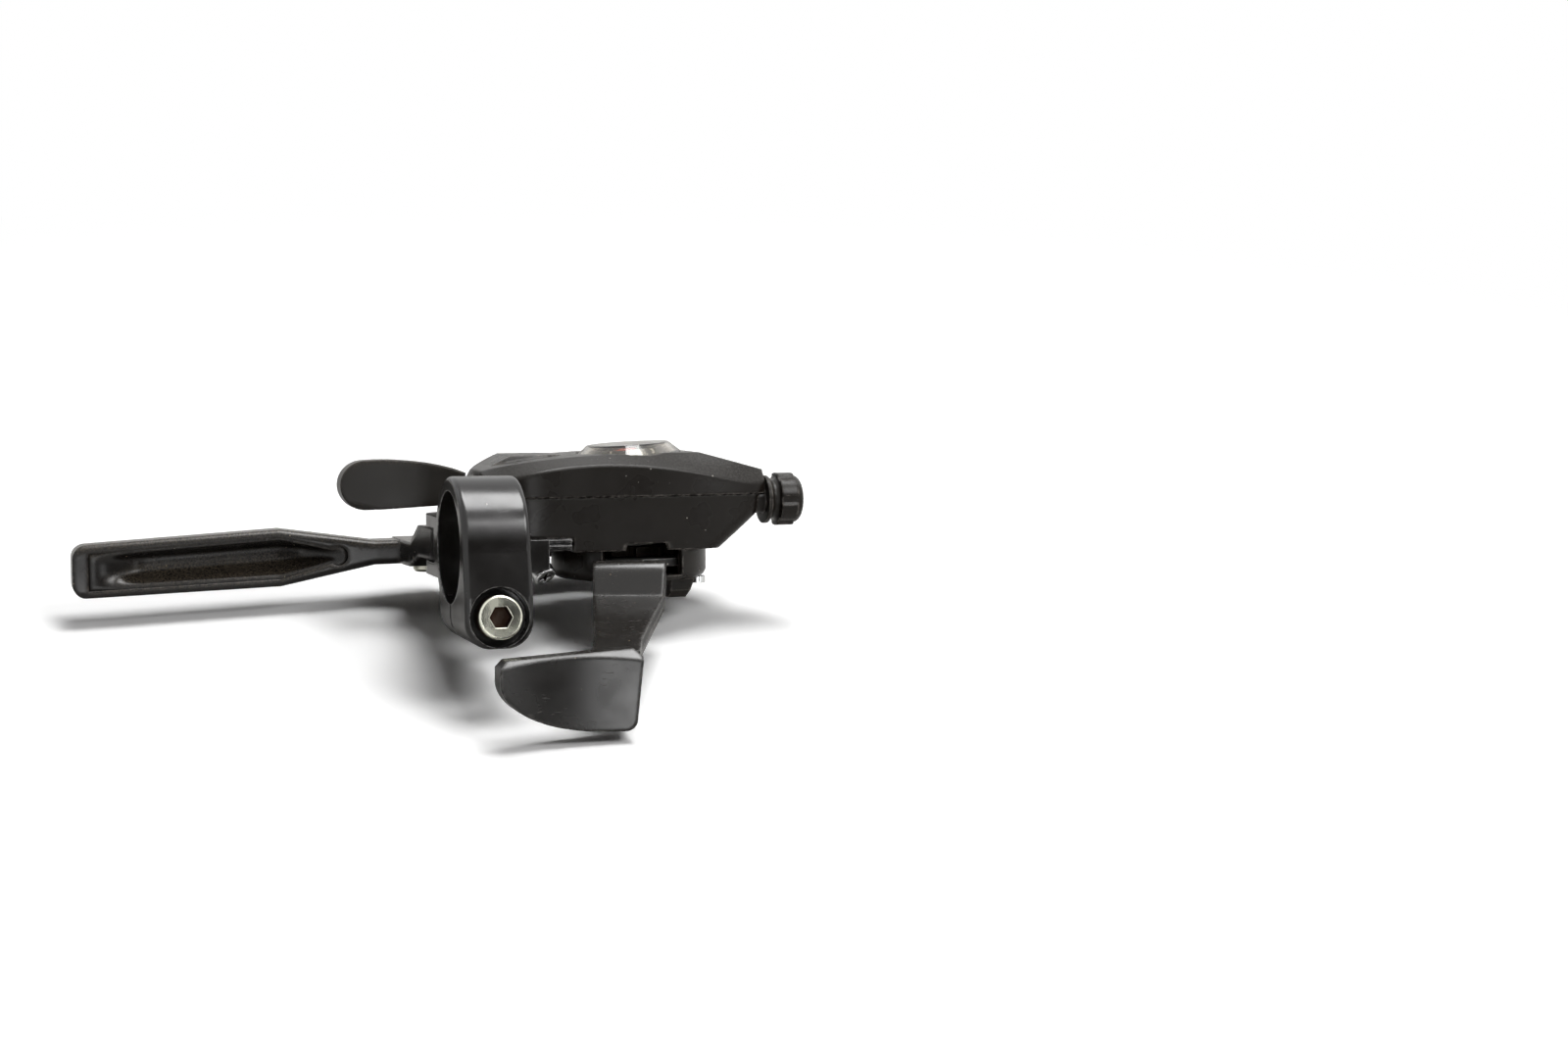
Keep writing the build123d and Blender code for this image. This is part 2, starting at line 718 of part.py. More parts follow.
def lower_form(inset, floor):
    """Solid of the lower cover, or of its hollow when the wall is passed as the inset."""
    side = cover_step + inset
    end = slant_x - 1.4 * inset
    with BuildPart() as form:
        for x, rear, shoulder, crown, front in pod_rows:
            with BuildSketch(Plane.YZ.offset(x)):
                with BuildLine():
                    Polyline(
                        (rear + side, part_line),
                        (rear + side + draft, pod_bottom + floor),
                        (front - side - draft, pod_bottom + floor),
                        (front - side, part_line),
                        close=True,
                    )
                make_face()
        loft()
        with BuildSketch(Plane.XZ.offset(-2 * through)):
            with BuildLine():
                bend = (end + slant_bend_x - slant_x, slant_bend_z)
                slope = Line((end, pod_bottom + floor), bend)
                TangentArc(bend, (end + slant_top - slant_x, part_line), tangent=slope % 1)
                Polyline(
                    (end + slant_top - slant_x, part_line),
                    (end + through, part_line),
                    (end + through, -through),
                    (end, -through),
                    (end, pod_bottom + floor),
                )
            make_face()
            with BuildLine():
                Polyline(
                    (0, part_line),
                    (lower_start + inset, part_line),
                    (lower_start + inset, notch_z + floor),
                    (notch_x + inset, notch_z + floor),
                    (notch_x + inset, -through),
                    (0, -through),
                    close=True,
                )
            make_face()
        extrude(amount=2 * through, mode=Mode.SUBTRACT)
    return form.part


dial_plane = Plane(
    origin=(axle_x, axle_y, dial_z),
    x_dir=(cos(radians(dial_tilt)), 0, sin(radians(dial_tilt))),
    z_dir=(-sin(radians(dial_tilt)), 0, cos(radians(dial_tilt))),
)
shift_plane = Plane(origin=(pod_end, shift_y, groove_z), x_dir=(0, 1, 0), z_dir=(1, 0, 0))


def at_axle(radius, angle):
    """Point at a distance and an angle, in degrees, from the main axle."""
    return (axle_x + radius * cos(radians(angle)), axle_y + radius * sin(radians(angle)))


def screw_start(x):
    """Height of the lower cover's underside at a cover screw."""
    return notch_z if x < notch_x else pod_bottom


hump_fall = Plane(
    origin=(hump_start, hump_y, hump_top),
    x_dir=(0, 1, 0),
    z_dir=(-sin(radians(hump_slope)), 0, cos(radians(hump_slope))),
)
hump_in = (hump_top - hump_low) * tan(radians(hump_taper))
with BuildPart() as hump:
    with BuildSketch(Plane.XY.offset(hump_low)):
        with Locations((hump_x, hump_y)):
            RectangleRounded(hump_length, hump_width, hump_corner)
    with BuildSketch(Plane.XY.offset(hump_top)):
        with Locations((hump_x, hump_y)):
            RectangleRounded(hump_length - 2 * hump_in, hump_width - 2 * hump_in, hump_corner - hump_in)
    loft(ruled=True)
    split(bisect_by=hump_fall, keep=Keep.BOTTOM)

with BuildPart() as upper_hollow:
    add(upper_form(cover_wall))
    split(bisect_by=crown_fall.offset(-cover_wall), keep=Keep.BOTTOM)

with BuildPart() as upper_cover:
    add(upper_form(0))
    fillet(edges().filter_by(lambda e: e.length > through and e.center().Z > part_line + 1), cover_edge)
    split(bisect_by=crown_fall, keep=Keep.BOTTOM)
    add(hump.part)
    add(upper_hollow.part, mode=Mode.SUBTRACT)
    for x, y in screw_spots:
        with BuildSketch(Plane.XY.offset(base_top)):
            with Locations((x, y)):
                Circle(post_radius)
        extrude(amount=post_height)
    with BuildSketch(Plane.XY.offset(part_line)):
        with Locations((nose_x, release_y - slot_shift)):
            Rectangle(slot_length, slot_width)
    extrude(amount=release_z + release_thickness + pass_gap - part_line, mode=Mode.SUBTRACT)
    with BuildSketch(dial_plane.offset(-dial_well)):
        Circle(dial_radius - dial_lip)
    extrude(amount=through, mode=Mode.SUBTRACT)
    with BuildSketch(dial_plane.offset(-dial_thickness)):
        Circle(dial_radius + running_gap)
    extrude(amount=through, mode=Mode.SUBTRACT)
    with BuildSketch(dial_plane):
        Circle(lens_radius + running_gap)
    extrude(amount=through, mode=Mode.SUBTRACT)
    with BuildSketch(shift_plane.offset(-stub_length)):
        Circle(stub_radius + running_gap)
    extrude(amount=2 * stub_length, mode=Mode.SUBTRACT)
    for x, y in screw_spots:
        with BuildSketch(Plane.XY.offset(base_top)):
            with Locations((x, y)):
                Circle(screw_radius)
        extrude(amount=screw_bite + thread_gap, mode=Mode.SUBTRACT)

write("upper_cover", upper_cover.part)

with BuildPart() as lower_cover:
    add(lower_form(0, 0))
    end_edges = edges().filter_by(lambda e: e.center().X > slant_x + 1 and e.center().Z < part_line - 1)
    fillet(end_edges.filter_by(Axis.Y, reverse=True), slant_corner)
    add(lower_form(cover_wall, floor_thickness), mode=Mode.SUBTRACT)
    for x, y in screw_spots:
        with BuildSketch(Plane.XY.offset(screw_start(x))):
            with Locations((x, y)):
                Circle(post_radius)
        extrude(amount=base_z - screw_start(x))
    with BuildSketch(Plane.XY.offset(notch_z)):
        with Locations((release_x, release_y)):
            Circle(release_post)
    extrude(amount=release_z - running_gap - notch_z)
    with BuildSketch(Plane.XY.offset(notch_z + floor_thickness)):
        with Locations((release_x, release_y)):
            Circle(release_pin_radius)
    extrude(amount=release_z, mode=Mode.SUBTRACT)
    with BuildSketch(Plane.XY.offset(pod_bottom)):
        with Locations(axle):
            Circle(mouth_radius)
    extrude(amount=floor_thickness, mode=Mode.SUBTRACT)
    with BuildSketch(shift_plane.offset(-stub_length)):
        Circle(stub_radius + running_gap)
    extrude(amount=2 * stub_length, mode=Mode.SUBTRACT)
    for x, y in screw_spots:
        with BuildSketch(Plane.XY.offset(screw_start(x))):
            with Locations((x, y)):
                Circle(screw_radius)
        extrude(amount=base_z - screw_start(x), mode=Mode.SUBTRACT)
        with BuildSketch(Plane.XY.offset(screw_start(x))):
            with Locations((x, y)):
                Circle(screw_head)
        extrude(amount=screw_head_height, mode=Mode.SUBTRACT)
    with BuildSketch(unit_screw_plane):
        Circle(unit_screw_radius)
    extrude(amount=-unit_screw_length, mode=Mode.SUBTRACT)
    with BuildSketch(Plane.XZ.offset(-plug_seat)):
        with Locations((plug_x, plug_z)):
            Circle(plug_radius)
    extrude(amount=plug_length + cover_wall, mode=Mode.SUBTRACT)

write("lower_cover", lower_cover.part)

with BuildPart() as cover_screws:
    for x, y in screw_spots:
        with BuildSketch(Plane.XY.offset(screw_start(x))):
            with Locations((x, y)):
                Circle(screw_head)
        extrude(amount=screw_head_height)
        with BuildSketch(Plane.XY.offset(screw_start(x))):
            with Locations((x, y)):
                Circle(screw_radius)
        extrude(amount=base_top + screw_bite - screw_start(x))
    for x, y in screw_spots:
        with BuildSketch(Plane.XY.offset(screw_start(x))):
            with Locations((x, y)):
                Rectangle(screw_head, cross_width)
                Rectangle(cross_width, screw_head)
        extrude(amount=screw_head_height / 2, mode=Mode.SUBTRACT)

write("cover_screws", cover_screws.part)

# Under cap: round moulding below the pod, open where the thumb lever comes out
with BuildPart() as under_cap:
    with BuildSketch(Plane.XY.offset(cap_bottom)):
        with Locations(axle):
            Circle(cap_radius)
    extrude(amount=pod_bottom - cap_bottom)
    fillet(edges().group_by(Axis.Z)[0], cap_edge)
    with BuildSketch(Plane.XY.offset(cap_bottom + cap_floor)):
        with Locations(axle):
            Circle(cap_radius - cap_wall)
    extrude(amount=pod_bottom - cap_bottom, mode=Mode.SUBTRACT)
    with BuildSketch(Plane.XY.offset(cap_bottom + cap_floor)):
        with BuildLine():
            Polyline(axle, at_axle(through, window_from - 90), at_axle(through, window_to - 90), close=True)
        make_face()
    extrude(amount=pod_bottom - cap_bottom, mode=Mode.SUBTRACT)
    with BuildSketch(Plane.XZ.offset(-axle_y - stop_far)):
        with BuildLine():
            Polyline(
                (axle_x + stop_left, cap_bottom + cap_floor),
                (axle_x + stop_right, cap_bottom + cap_floor),
                (axle_x + stop_right, cap_bottom),
                (axle_x + stop_right - stop_narrow, cap_bottom - stop_drop),
                (axle_x + stop_left, cap_bottom - stop_drop),
                close=True,
            )
        make_face()
    extrude(amount=stop_far - stop_near)
    chamfer(edges().filter_by(Axis.X).group_by(Axis.Z)[0].sort_by(Axis.Y)[0], stop_narrow)
    with BuildSketch(Plane.XY.offset(cap_bottom)):
        with Locations(axle):
            Circle(axle_radius)
    extrude(amount=cap_floor, mode=Mode.SUBTRACT)

write("under_cap", under_cap.part)

# Screws of the under cap: their heads show below it
with BuildPart() as cap_screws:
    for x, y in cap_screw_spots:
        with BuildSketch(Plane.XY.offset(cap_bottom - screw_head_height)):
            with Locations((x, y)):
                Circle(screw_head)
        extrude(amount=screw_head_height)
    for x, y in cap_screw_spots:
        with BuildSketch(Plane.XY.offset(cap_bottom - screw_head_height)):
            with Locations((x, y)):
                Rectangle(screw_head, cross_width)
                Rectangle(cross_width, screw_head)
        extrude(amount=screw_head_height / 2, mode=Mode.SUBTRACT)

write("cap_screws", cap_screws.part)

# Main axle of the shift mechanism, riveted into the base plate, with a nut below the cap
with BuildPart() as main_axle:
    with BuildSketch(Plane.XY.offset(cap_bottom - axle_stub)):
        with Locations(axle):
            Circle(axle_radius)
    extrude(amount=base_top - cap_bottom + axle_stub)
    chamfer(edges().filter_by(GeomType.CIRCLE).sort_by(Axis.Z)[0], nut_edge)

write("main_axle", main_axle.part)

with BuildPart() as axle_nut:
    with BuildSketch(Plane.XY.offset(cap_bottom - nut_height)):
        with Locations(axle):
            RegularPolygon(nut_flats / 2, 6, major_radius=False)
            Circle(axle_radius, mode=Mode.SUBTRACT)
    extrude(amount=nut_height)
    chamfer(edges().group_by(Axis.Z)[0].filter_by(GeomType.LINE), nut_edge)

write("axle_nut", axle_nut.part)

stop_x, stop_y = at_axle(stop_pawl_at, stop_angle)
with BuildPart() as base_plate:
    with BuildSketch(Plane.XY.offset(base_z)):
        with BuildLine():
            Polyline(*screw_spots, close=True)
        make_face()
        for spot in screw_spots:
            with Locations(spot):
                Circle(post_radius)
        with Locations(axle):
            Circle(drum_flange)
            Circle(axle_radius, mode=Mode.SUBTRACT)
        for spot in screw_spots:
            with Locations(spot):
                Circle(screw_radius, mode=Mode.SUBTRACT)
        with Locations((stop_x, stop_y)):
            Circle(post_radius)
            Circle(pawl_pin, mode=Mode.SUBTRACT)
    extrude(amount=plate_thickness)

write("base_plate", base_plate.part)

# Cable drum and ratchet wheel: they turn together on the main axle
with BuildPart() as cable_drum:
    with BuildSketch(Plane.XZ.offset(-axle_y)):
        with BuildLine():
            Polyline(
                (axle_x + axle_radius + running_gap, ratchet_z + ratchet_thickness),
                (axle_x + drum_hub, ratchet_z + ratchet_thickness),
                (axle_x + drum_hub, drum_start),
                (axle_x + drum_flange, drum_start),
                (axle_x + drum_flange, groove_z - groove_mouth),
                (axle_x + drum_groove, groove_z - groove_half),
                (axle_x + drum_groove, groove_z + groove_half),
                (axle_x + drum_flange, groove_z + groove_mouth),
                (axle_x + drum_flange, drum_end),
                (axle_x + axle_radius + running_gap, drum_end),
                close=True,
            )
        make_face()
    revolve(axis=Axis((axle_x, axle_y, 0), (0, 0, 1)))
    with BuildSketch(Plane.XY.offset(drum_start)):
        with Locations(at_axle(nipple_at, stop_angle)):
            Circle(nipple_radius)
    extrude(amount=drum_end - drum_start, mode=Mode.SUBTRACT)

write("cable_drum", cable_drum.part)

with BuildPart() as ratchet_wheel:
    with BuildSketch(Plane.XY.offset(ratchet_z)):
        with Locations(axle):
            Circle(ratchet_root)
            with PolarLocations(0, tooth_count):
                Polygon(
                    (0, -tooth_lead),
                    (ratchet_tip, -tooth_lead),
                    (ratchet_root, tooth_back),
                    (0, tooth_lead),
                    align=None,
                )
            Circle(axle_radius + running_gap, mode=Mode.SUBTRACT)
    extrude(amount=ratchet_thickness)

write("ratchet_wheel", ratchet_wheel.part)


def pawl(pin_x, pin_y, nose):
    """Flat pawl: an eye on its pin and a beak that reaches to the ratchet's teeth."""
    with BuildPart() as beak:
        with BuildSketch(Plane.XY.offset(ratchet_z)):
            with Locations((pin_x, pin_y)):
                Circle(pawl_eye)
            with BuildLine():
                Polyline((pin_x, pin_y + pawl_half), nose, (pin_x, pin_y - pawl_half), close=True)
            make_face()
            with Locations((pin_x, pin_y)):
                Circle(pawl_pin + running_gap, mode=Mode.SUBTRACT)
        extrude(amount=ratchet_thickness)
    return beak.part


feed_x, feed_y = at_axle(feed_pawl_at, feed_angle)
write("feed_pawl", pawl(feed_x, feed_y, at_axle(ratchet_tip + pawl_clear, feed_nose)))
write("stop_pawl", pawl(stop_x, stop_y, at_axle(ratchet_tip + pawl_clear, stop_nose)))

with BuildPart() as feed_pin:
    with BuildSketch(Plane.XY.offset(plate_z)):
        with Locations((feed_x, feed_y)):
            Circle(pawl_pin)
    extrude(amount=ratchet_z + ratchet_thickness - plate_z)

write("feed_pin", feed_pin.part)

with BuildPart() as stop_pin:
    with BuildSketch(Plane.XY.offset(ratchet_z)):
        with Locations((stop_x, stop_y)):
            Circle(pawl_pin)
    extrude(amount=base_top - ratchet_z)

write("stop_pin", stop_pin.part)


def spiral_spring(center, inner, half_turns, step, low, height):
    """Flat strip wound outwards in half circles, each a step wider than the last."""
    with BuildPart() as strip:
        with BuildSketch(Plane.XY.offset(low)):
            with BuildLine():
                for k in range(half_turns):
                    side = 1 if k % 2 == 0 else -1
                    near = inner + k * step
                    ThreePointArc(
                        (center[0] + side * near, center[1]),
                        (center[0] + side * (-step / 2), center[1] + side * (near + step / 2)),
                        (center[0] - side * (near + step), center[1]),
                    )
            trace(line_width=spring_strip)
        extrude(amount=height)
    return strip.part


drum_coil = spiral_spring(
    axle, drum_hub + spring_gap, drum_spring_turns, drum_spring_step, drum_spring_z, drum_spring_height
)
thumb_coil = spiral_spring(
    axle,
    axle_radius + spring_gap,
    thumb_spring_turns,
    thumb_spring_step,
    cap_bottom + cap_floor,
    thumb_spring_height,
)
release_coil = spiral_spring(
    (release_x, release_y),
    release_pin_radius + spring_strip,
    release_spring_turns,
    release_spring_step,
    release_z + release_thickness + running_gap,
    release_spring_height,
)
write("drum_spring", drum_coil)
write("thumb_spring", thumb_coil)
write("release_spring", release_coil)

# Thumb lever: a bent steel arm on the main axle, in a moulded sleeve that ends in the thumb piece
lean = radians(thumb_lean)
thumb_side = Plane(
    origin=(axle_x, axle_y, 0), x_dir=(-sin(lean), -cos(lean), 0), z_dir=(-cos(lean), sin(lean), 0)
)
thumb_plan = Plane(
    origin=(axle_x, axle_y, -through), x_dir=(-sin(lean), -cos(lean), 0), z_dir=(0, 0, 1)
)
sleeve_start = cap_radius + pass_gap
sleeve_last = thumb_reach - sleeve_run


def thumb_path(low):
    """Corners of the arm's underside: level, down past the handlebar, then back to the thumb."""
    return [
        (axle_radius, plate_z - low),
        (thumb_bend, plate_z - low),
        (thumb_drop, thumb_low - low),
        (thumb_reach, thumb_end - low),
    ]


with BuildPart() as thumb_arm:
    with BuildSketch(thumb_side):
        with BuildLine():
            FilletPolyline(*thumb_path(0), radius=bend_radius)
            offset(amount=plate_thickness, side=Side.LEFT)
        make_face()
    extrude(amount=through, both=True)
    with BuildSketch(thumb_plan):
        with BuildLine():
            Polyline(
                (0, -root_half),
                (0, root_half),
                (sleeve_start, root_half),
                (sleeve_start, sleeve_in),
                (sleeve_last, sleeve_in_end),
                (sleeve_last, steel_inset - sleeve_out_end),
                (sleeve_start, steel_inset - sleeve_out),
                (sleeve_start, -root_half),
                close=True,
            )
        make_face()
    extrude(amount=2 * through, mode=Mode.INTERSECT)
    with BuildSketch(Plane.XY.offset(plate_z)):
        with Locations(axle):
            Circle(plate_radius)
    extrude(amount=plate_thickness)
    with BuildSketch(Plane.XY.offset(plate_z)):
        with Locations(axle):
            Circle(axle_radius + running_gap)
        with Locations((feed_x, feed_y)):
            Circle(pawl_pin)
    extrude(amount=plate_thickness, mode=Mode.SUBTRACT)

write("thumb_arm", thumb_arm.part)

paddle_right = axle_x - thumb_reach * sin(lean) + paddle_overhang
paddle_left = paddle_right - paddle_width
paddle_top = thumb_end + paddle_rise
paddle_low = paddle_top - paddle_height
paddle_y = axle_y - thumb_reach * cos(lean) - paddle_depth
paddle_mid = (paddle_left + paddle_right) / 2
with BuildPart() as paddle:
    with BuildSketch(Plane.XZ.offset(-paddle_y - paddle_depth)):
        with BuildLine():
            EllipticalCenterArc(
                (paddle_left + paddle_sweep, paddle_top - paddle_shoulder),
                paddle_sweep,
                paddle_height - paddle_shoulder,
                start_angle=180,
                arc_size=90,
            )
            Polyline(
                (paddle_left + paddle_sweep, paddle_low),
                (paddle_right - paddle_slope, paddle_low),
                (paddle_right, paddle_top - paddle_slope),
                (paddle_right - paddle_slope, paddle_top),
                (paddle_left + paddle_slope, paddle_top - paddle_slope),
                (paddle_left, paddle_top - 2 * paddle_slope),
                (paddle_left, paddle_top - paddle_shoulder),
            )
        make_face()
    extrude(amount=paddle_depth + paddle_hollow)
    fillet(edges().filter_by(Axis.Y).group_by(Axis.Z)[0].sort_by(Axis.X)[-1], paddle_corner)
    top_edge = edges().filter_by(lambda e: e.length > paddle_width / 2 and e.center().Z > paddle_top - 3)
    chamfer(top_edge.sort_by(Axis.Y)[0], paddle_bevel)
    with BuildSketch(Plane.XY.offset(-through)):
        with BuildLine():
            dish = ThreePointArc(
                (paddle_left, paddle_y - paddle_hollow / 2),
                (paddle_mid, paddle_y),
                (paddle_right, paddle_y - paddle_hollow),
            )
            Polyline(
                dish @ 1,
                (paddle_right, paddle_y - through),
                (paddle_left, paddle_y - through),
                dish @ 0,
            )
        make_face()
    extrude(amount=through - paddle_shoulder - paddle_rise, mode=Mode.SUBTRACT)

with BuildPart() as thumb_paddle:
    with BuildSketch(thumb_side):
        with BuildLine():
            FilletPolyline(*thumb_path(sleeve_below), radius=bend_radius)
            offset(amount=sleeve_below + plate_thickness + sleeve_above, side=Side.LEFT)
        make_face()
    extrude(amount=through, both=True)
    with BuildSketch(thumb_plan):
        with BuildLine():
            Polyline(
                (sleeve_start, sleeve_in),
                (sleeve_last, sleeve_in_end),
                (thumb_reach + sleeve_run, sleeve_in_end),
                (thumb_reach + sleeve_run, -sleeve_out_end),
                (sleeve_last, -sleeve_out_end),
                (sleeve_start, -sleeve_out),
                close=True,
            )
        make_face()
    extrude(amount=2 * through, mode=Mode.INTERSECT)
    add(paddle.part)
    add(thumb_arm.part, mode=Mode.SUBTRACT)

write("thumb_paddle", thumb_paddle.part)

# Release lever: a steel arm on its own pin, with a moulded trigger over its end
with BuildPart() as release_pin:
    with BuildSketch(Plane.XY.offset(notch_z + floor_thickness)):
        with Locations((release_x, release_y)):
            Circle(release_pin_radius)
    extrude(amount=release_z + release_post - notch_z)

write("release_pin", release_pin.part)

with BuildPart() as release_arm:
    with BuildSketch(Plane.XY.offset(release_z)):
        with BuildLine():
            Polyline(
                (release_x, release_y - release_eye),
                (release_x, release_y + release_eye),
                (release_end - release_tang, trigger_y + tang_far),
                (release_end - release_tang, trigger_y - tang_near),
                close=True,
            )
        make_face()
        with Locations((release_x, release_y)):
            Circle(release_eye)
            Circle(release_pin_radius + running_gap, mode=Mode.SUBTRACT)
    extrude(amount=release_thickness)

write("release_arm", release_arm.part)

tip_radius = (trigger_crown - trigger_keel) / 2
tip_x = trigger_tip + tip_radius
trigger_mid = (trigger_tip + release_end) / 2
rider_face = trigger_y - trigger_depth / 2
facet_start = Vector(trigger_tip, rider_face + trigger_sweep, facet_z)
facet_end = Vector(facet_x, rider_face + trigger_bow, trigger_keel + facet_depth)
facet_low = Vector(tip_x, rider_face + trigger_sweep + facet_depth, trigger_keel)
facet = Plane(
    origin=facet_start,
    x_dir=facet_end - facet_start,
    z_dir=(facet_low - facet_start).cross(facet_end - facet_start),
)
with BuildPart() as release_paddle:
    with BuildSketch(Plane.XZ.offset(-trigger_y - through / 2)):
        with BuildLine():
            tip = ThreePointArc(
                (tip_x, trigger_keel), (trigger_tip, trigger_keel + tip_radius), (tip_x, trigger_crown)
            )
            crown_line = Spline(
                (tip_x, trigger_crown),
                (trigger_mid, trigger_crown),
                (release_end, trigger_neck_top),
                tangents=((1, 0.1), (1, -0.45)),
            )
            Polyline(crown_line @ 1, (release_end, trigger_neck_low), tip @ 0)
        make_face()
    extrude(amount=through)
    with BuildSketch(Plane.XY):
        with BuildLine():
            rider_edge = ThreePointArc(
                (release_end, rider_face),
                (trigger_mid, rider_face + trigger_bow),
                (trigger_tip, rider_face + trigger_sweep),
            )
            front_edge = ThreePointArc(
                (release_end, rider_face + trigger_depth),
                (trigger_mid, rider_face + trigger_depth + trigger_bow),
                (trigger_tip, rider_face + trigger_depth + trigger_sweep),
            )
            Line(rider_edge @ 0, front_edge @ 0)
            Line(rider_edge @ 1, front_edge @ 1)
        make_face()
    extrude(amount=through, mode=Mode.INTERSECT)
    split(bisect_by=facet, keep=Keep.BOTTOM)
    add(release_arm.part, mode=Mode.SUBTRACT)

write("release_paddle", release_paddle.part)

# Indicator: printed dial with a sloping ring for its numbers, needle and clear lens on top of the pod
with BuildPart() as dial:
    with BuildSketch(dial_plane.offset(-dial_thickness)):
        Circle(dial_radius)
    extrude(amount=dial_thickness)
    with BuildSketch(dial_plane):
        Circle(scale_outer)
    with BuildSketch(dial_plane.offset(scale_height)):
        Circle(scale_top)
    loft()
    with BuildSketch(dial_plane):
        Circle(scale_inner)
    extrude(amount=scale_height, mode=Mode.SUBTRACT)
    with BuildSketch(dial_plane.offset(-dial_thickness)):
        Circle(needle_pin + running_gap)
    extrude(amount=dial_thickness, mode=Mode.SUBTRACT)

write("dial", dial.part)

with BuildPart() as pointer:
    with BuildSketch(dial_plane.offset(-needle_shaft)):
        Circle(needle_pin)
    extrude(amount=needle_shaft + needle_gap)
    with BuildSketch(dial_plane.rotated((0, 0, -needle_rest)).offset(needle_gap)):
        Circle(needle_hub)
        with BuildLine():
            Polyline(
                (-needle_root / 2, 0),
                (needle_root / 2, 0),
                (needle_tip / 2, -needle_length),
                (-needle_tip / 2, -needle_length),
                close=True,
            )
        make_face()
    extrude(amount=needle_thickness)

write("pointer", pointer.part)

with BuildPart() as lens:
    with BuildSketch(dial_plane):
        Circle(lens_radius)
    extrude(amount=lens_rim)
    with BuildSketch(dial_plane.offset(lens_rim)):
        Circle(lens_radius)
    with BuildSketch(dial_plane.offset(lens_height)):
        Circle(lens_top_radius)
    loft()
    with BuildSketch(dial_plane):
        Circle(lens_radius - lens_rim - lens_wall)
    with BuildSketch(dial_plane.offset(lens_height - lens_wall)):
        Circle(lens_top_radius - lens_wall)
    loft(mode=Mode.SUBTRACT)

write("lens", lens.part)

# Gear cable's barrel adjuster: waisted neck, six-lobed collar and domed end
collar_start = barrel_clear + neck_length
dome_start = collar_start + collar_length
barrel_end = dome_start + dome_length
dome_middle = (flange_radius + dome_radius) / 2 + barrel_clear
with BuildPart() as shift_barrel:
    with BuildSketch(Plane.XZ.offset(-shift_y)):
        with BuildLine():
            Polyline(
                (pod_end - stub_length, groove_z),
                (pod_end - stub_length, groove_z + stub_radius),
                (pod_end + barrel_clear, groove_z + stub_radius),
                (pod_end + barrel_clear, groove_z + flange_radius),
                (pod_end + barrel_clear + flange_length, groove_z + flange_radius),
            )
            ThreePointArc(
                (pod_end + barrel_clear + flange_length, groove_z + flange_radius),
                (pod_end + barrel_clear + (neck_length + flange_length) / 2, groove_z + waist_radius),
                (pod_end + collar_start, groove_z + flange_radius),
            )
            Polyline(
                (pod_end + collar_start, groove_z + flange_radius),
                (pod_end + dome_start, groove_z + flange_radius),
            )
            ThreePointArc(
                (pod_end + dome_start, groove_z + flange_radius),
                (pod_end + dome_start + dome_length / 2, groove_z + dome_middle),
                (pod_end + barrel_end, groove_z + dome_radius),
            )
            Polyline(
                (pod_end + barrel_end, groove_z + dome_radius),
                (pod_end + barrel_end, groove_z),
                (pod_end - stub_length, groove_z),
            )
        make_face()
    revolve(axis=Axis((0, shift_y, groove_z), (1, 0, 0)))
    with BuildSketch(shift_plane.offset(collar_start)):
        Circle(collar_radius)
        with PolarLocations(lobe_at, lobe_count):
            Circle(lobe_radius, mode=Mode.SUBTRACT)
    extrude(amount=collar_length)
    with BuildSketch(shift_plane.offset(-stub_length)):
        Circle(barrel_bore)
    extrude(amount=barrel_end + stub_length, mode=Mode.SUBTRACT)
    with BuildSketch(shift_plane.offset(barrel_end)):
        Circle(ferrule_radius)
    extrude(amount=-ferrule_depth, mode=Mode.SUBTRACT)

write("shift_barrel", shift_barrel.part)

# Cable plug: closes the hole in the front wall through which the gear cable is threaded
with BuildPart() as cable_plug:
    with BuildSketch(Plane.XZ.offset(-plug_seat)):
        with Locations((plug_x, plug_z)):
            Circle(plug_radius)
    extrude(amount=plug_length)
    with BuildSketch(Plane.XZ.offset(-plug_seat)):
        with Locations((plug_x, plug_z)):
            Circle(plug_flange)
    extrude(amount=-plug_flange_height)

write("cable_plug", cable_plug.part)
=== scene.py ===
import bpy
import numpy as np
from mathutils import Matrix, Vector


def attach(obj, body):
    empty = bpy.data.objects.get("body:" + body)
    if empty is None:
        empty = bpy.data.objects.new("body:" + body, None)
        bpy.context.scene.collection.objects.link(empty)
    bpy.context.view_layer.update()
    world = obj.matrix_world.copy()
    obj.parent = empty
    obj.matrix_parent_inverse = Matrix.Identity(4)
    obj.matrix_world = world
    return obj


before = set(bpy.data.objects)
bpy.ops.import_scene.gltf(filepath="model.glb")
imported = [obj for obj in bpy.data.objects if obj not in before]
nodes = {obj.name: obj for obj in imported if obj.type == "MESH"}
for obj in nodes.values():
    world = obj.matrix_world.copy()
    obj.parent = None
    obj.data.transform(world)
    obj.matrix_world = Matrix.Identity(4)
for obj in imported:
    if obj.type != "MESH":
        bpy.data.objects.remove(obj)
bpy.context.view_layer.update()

scene = bpy.context.scene
scene.view_settings.view_transform = "Standard"

# Camera: the unit lies on a table and is seen from the rider's side, a little from above.
# Its place was worked out from the clamp's round bore, with a lens whose length is assumed.
view_from = Vector((-0.09787, -0.43445, 0.13659))
view_along = Vector((0.33299, 0.90153, -0.27636)).normalized()
view_right = Vector((0.94264, -0.32552, 0.07396)).normalized()
photo_width = 1600.0
focal_length = 2400.0  # in pixels of that width
sensor_width = 36.0
nearest_seen = 0.01

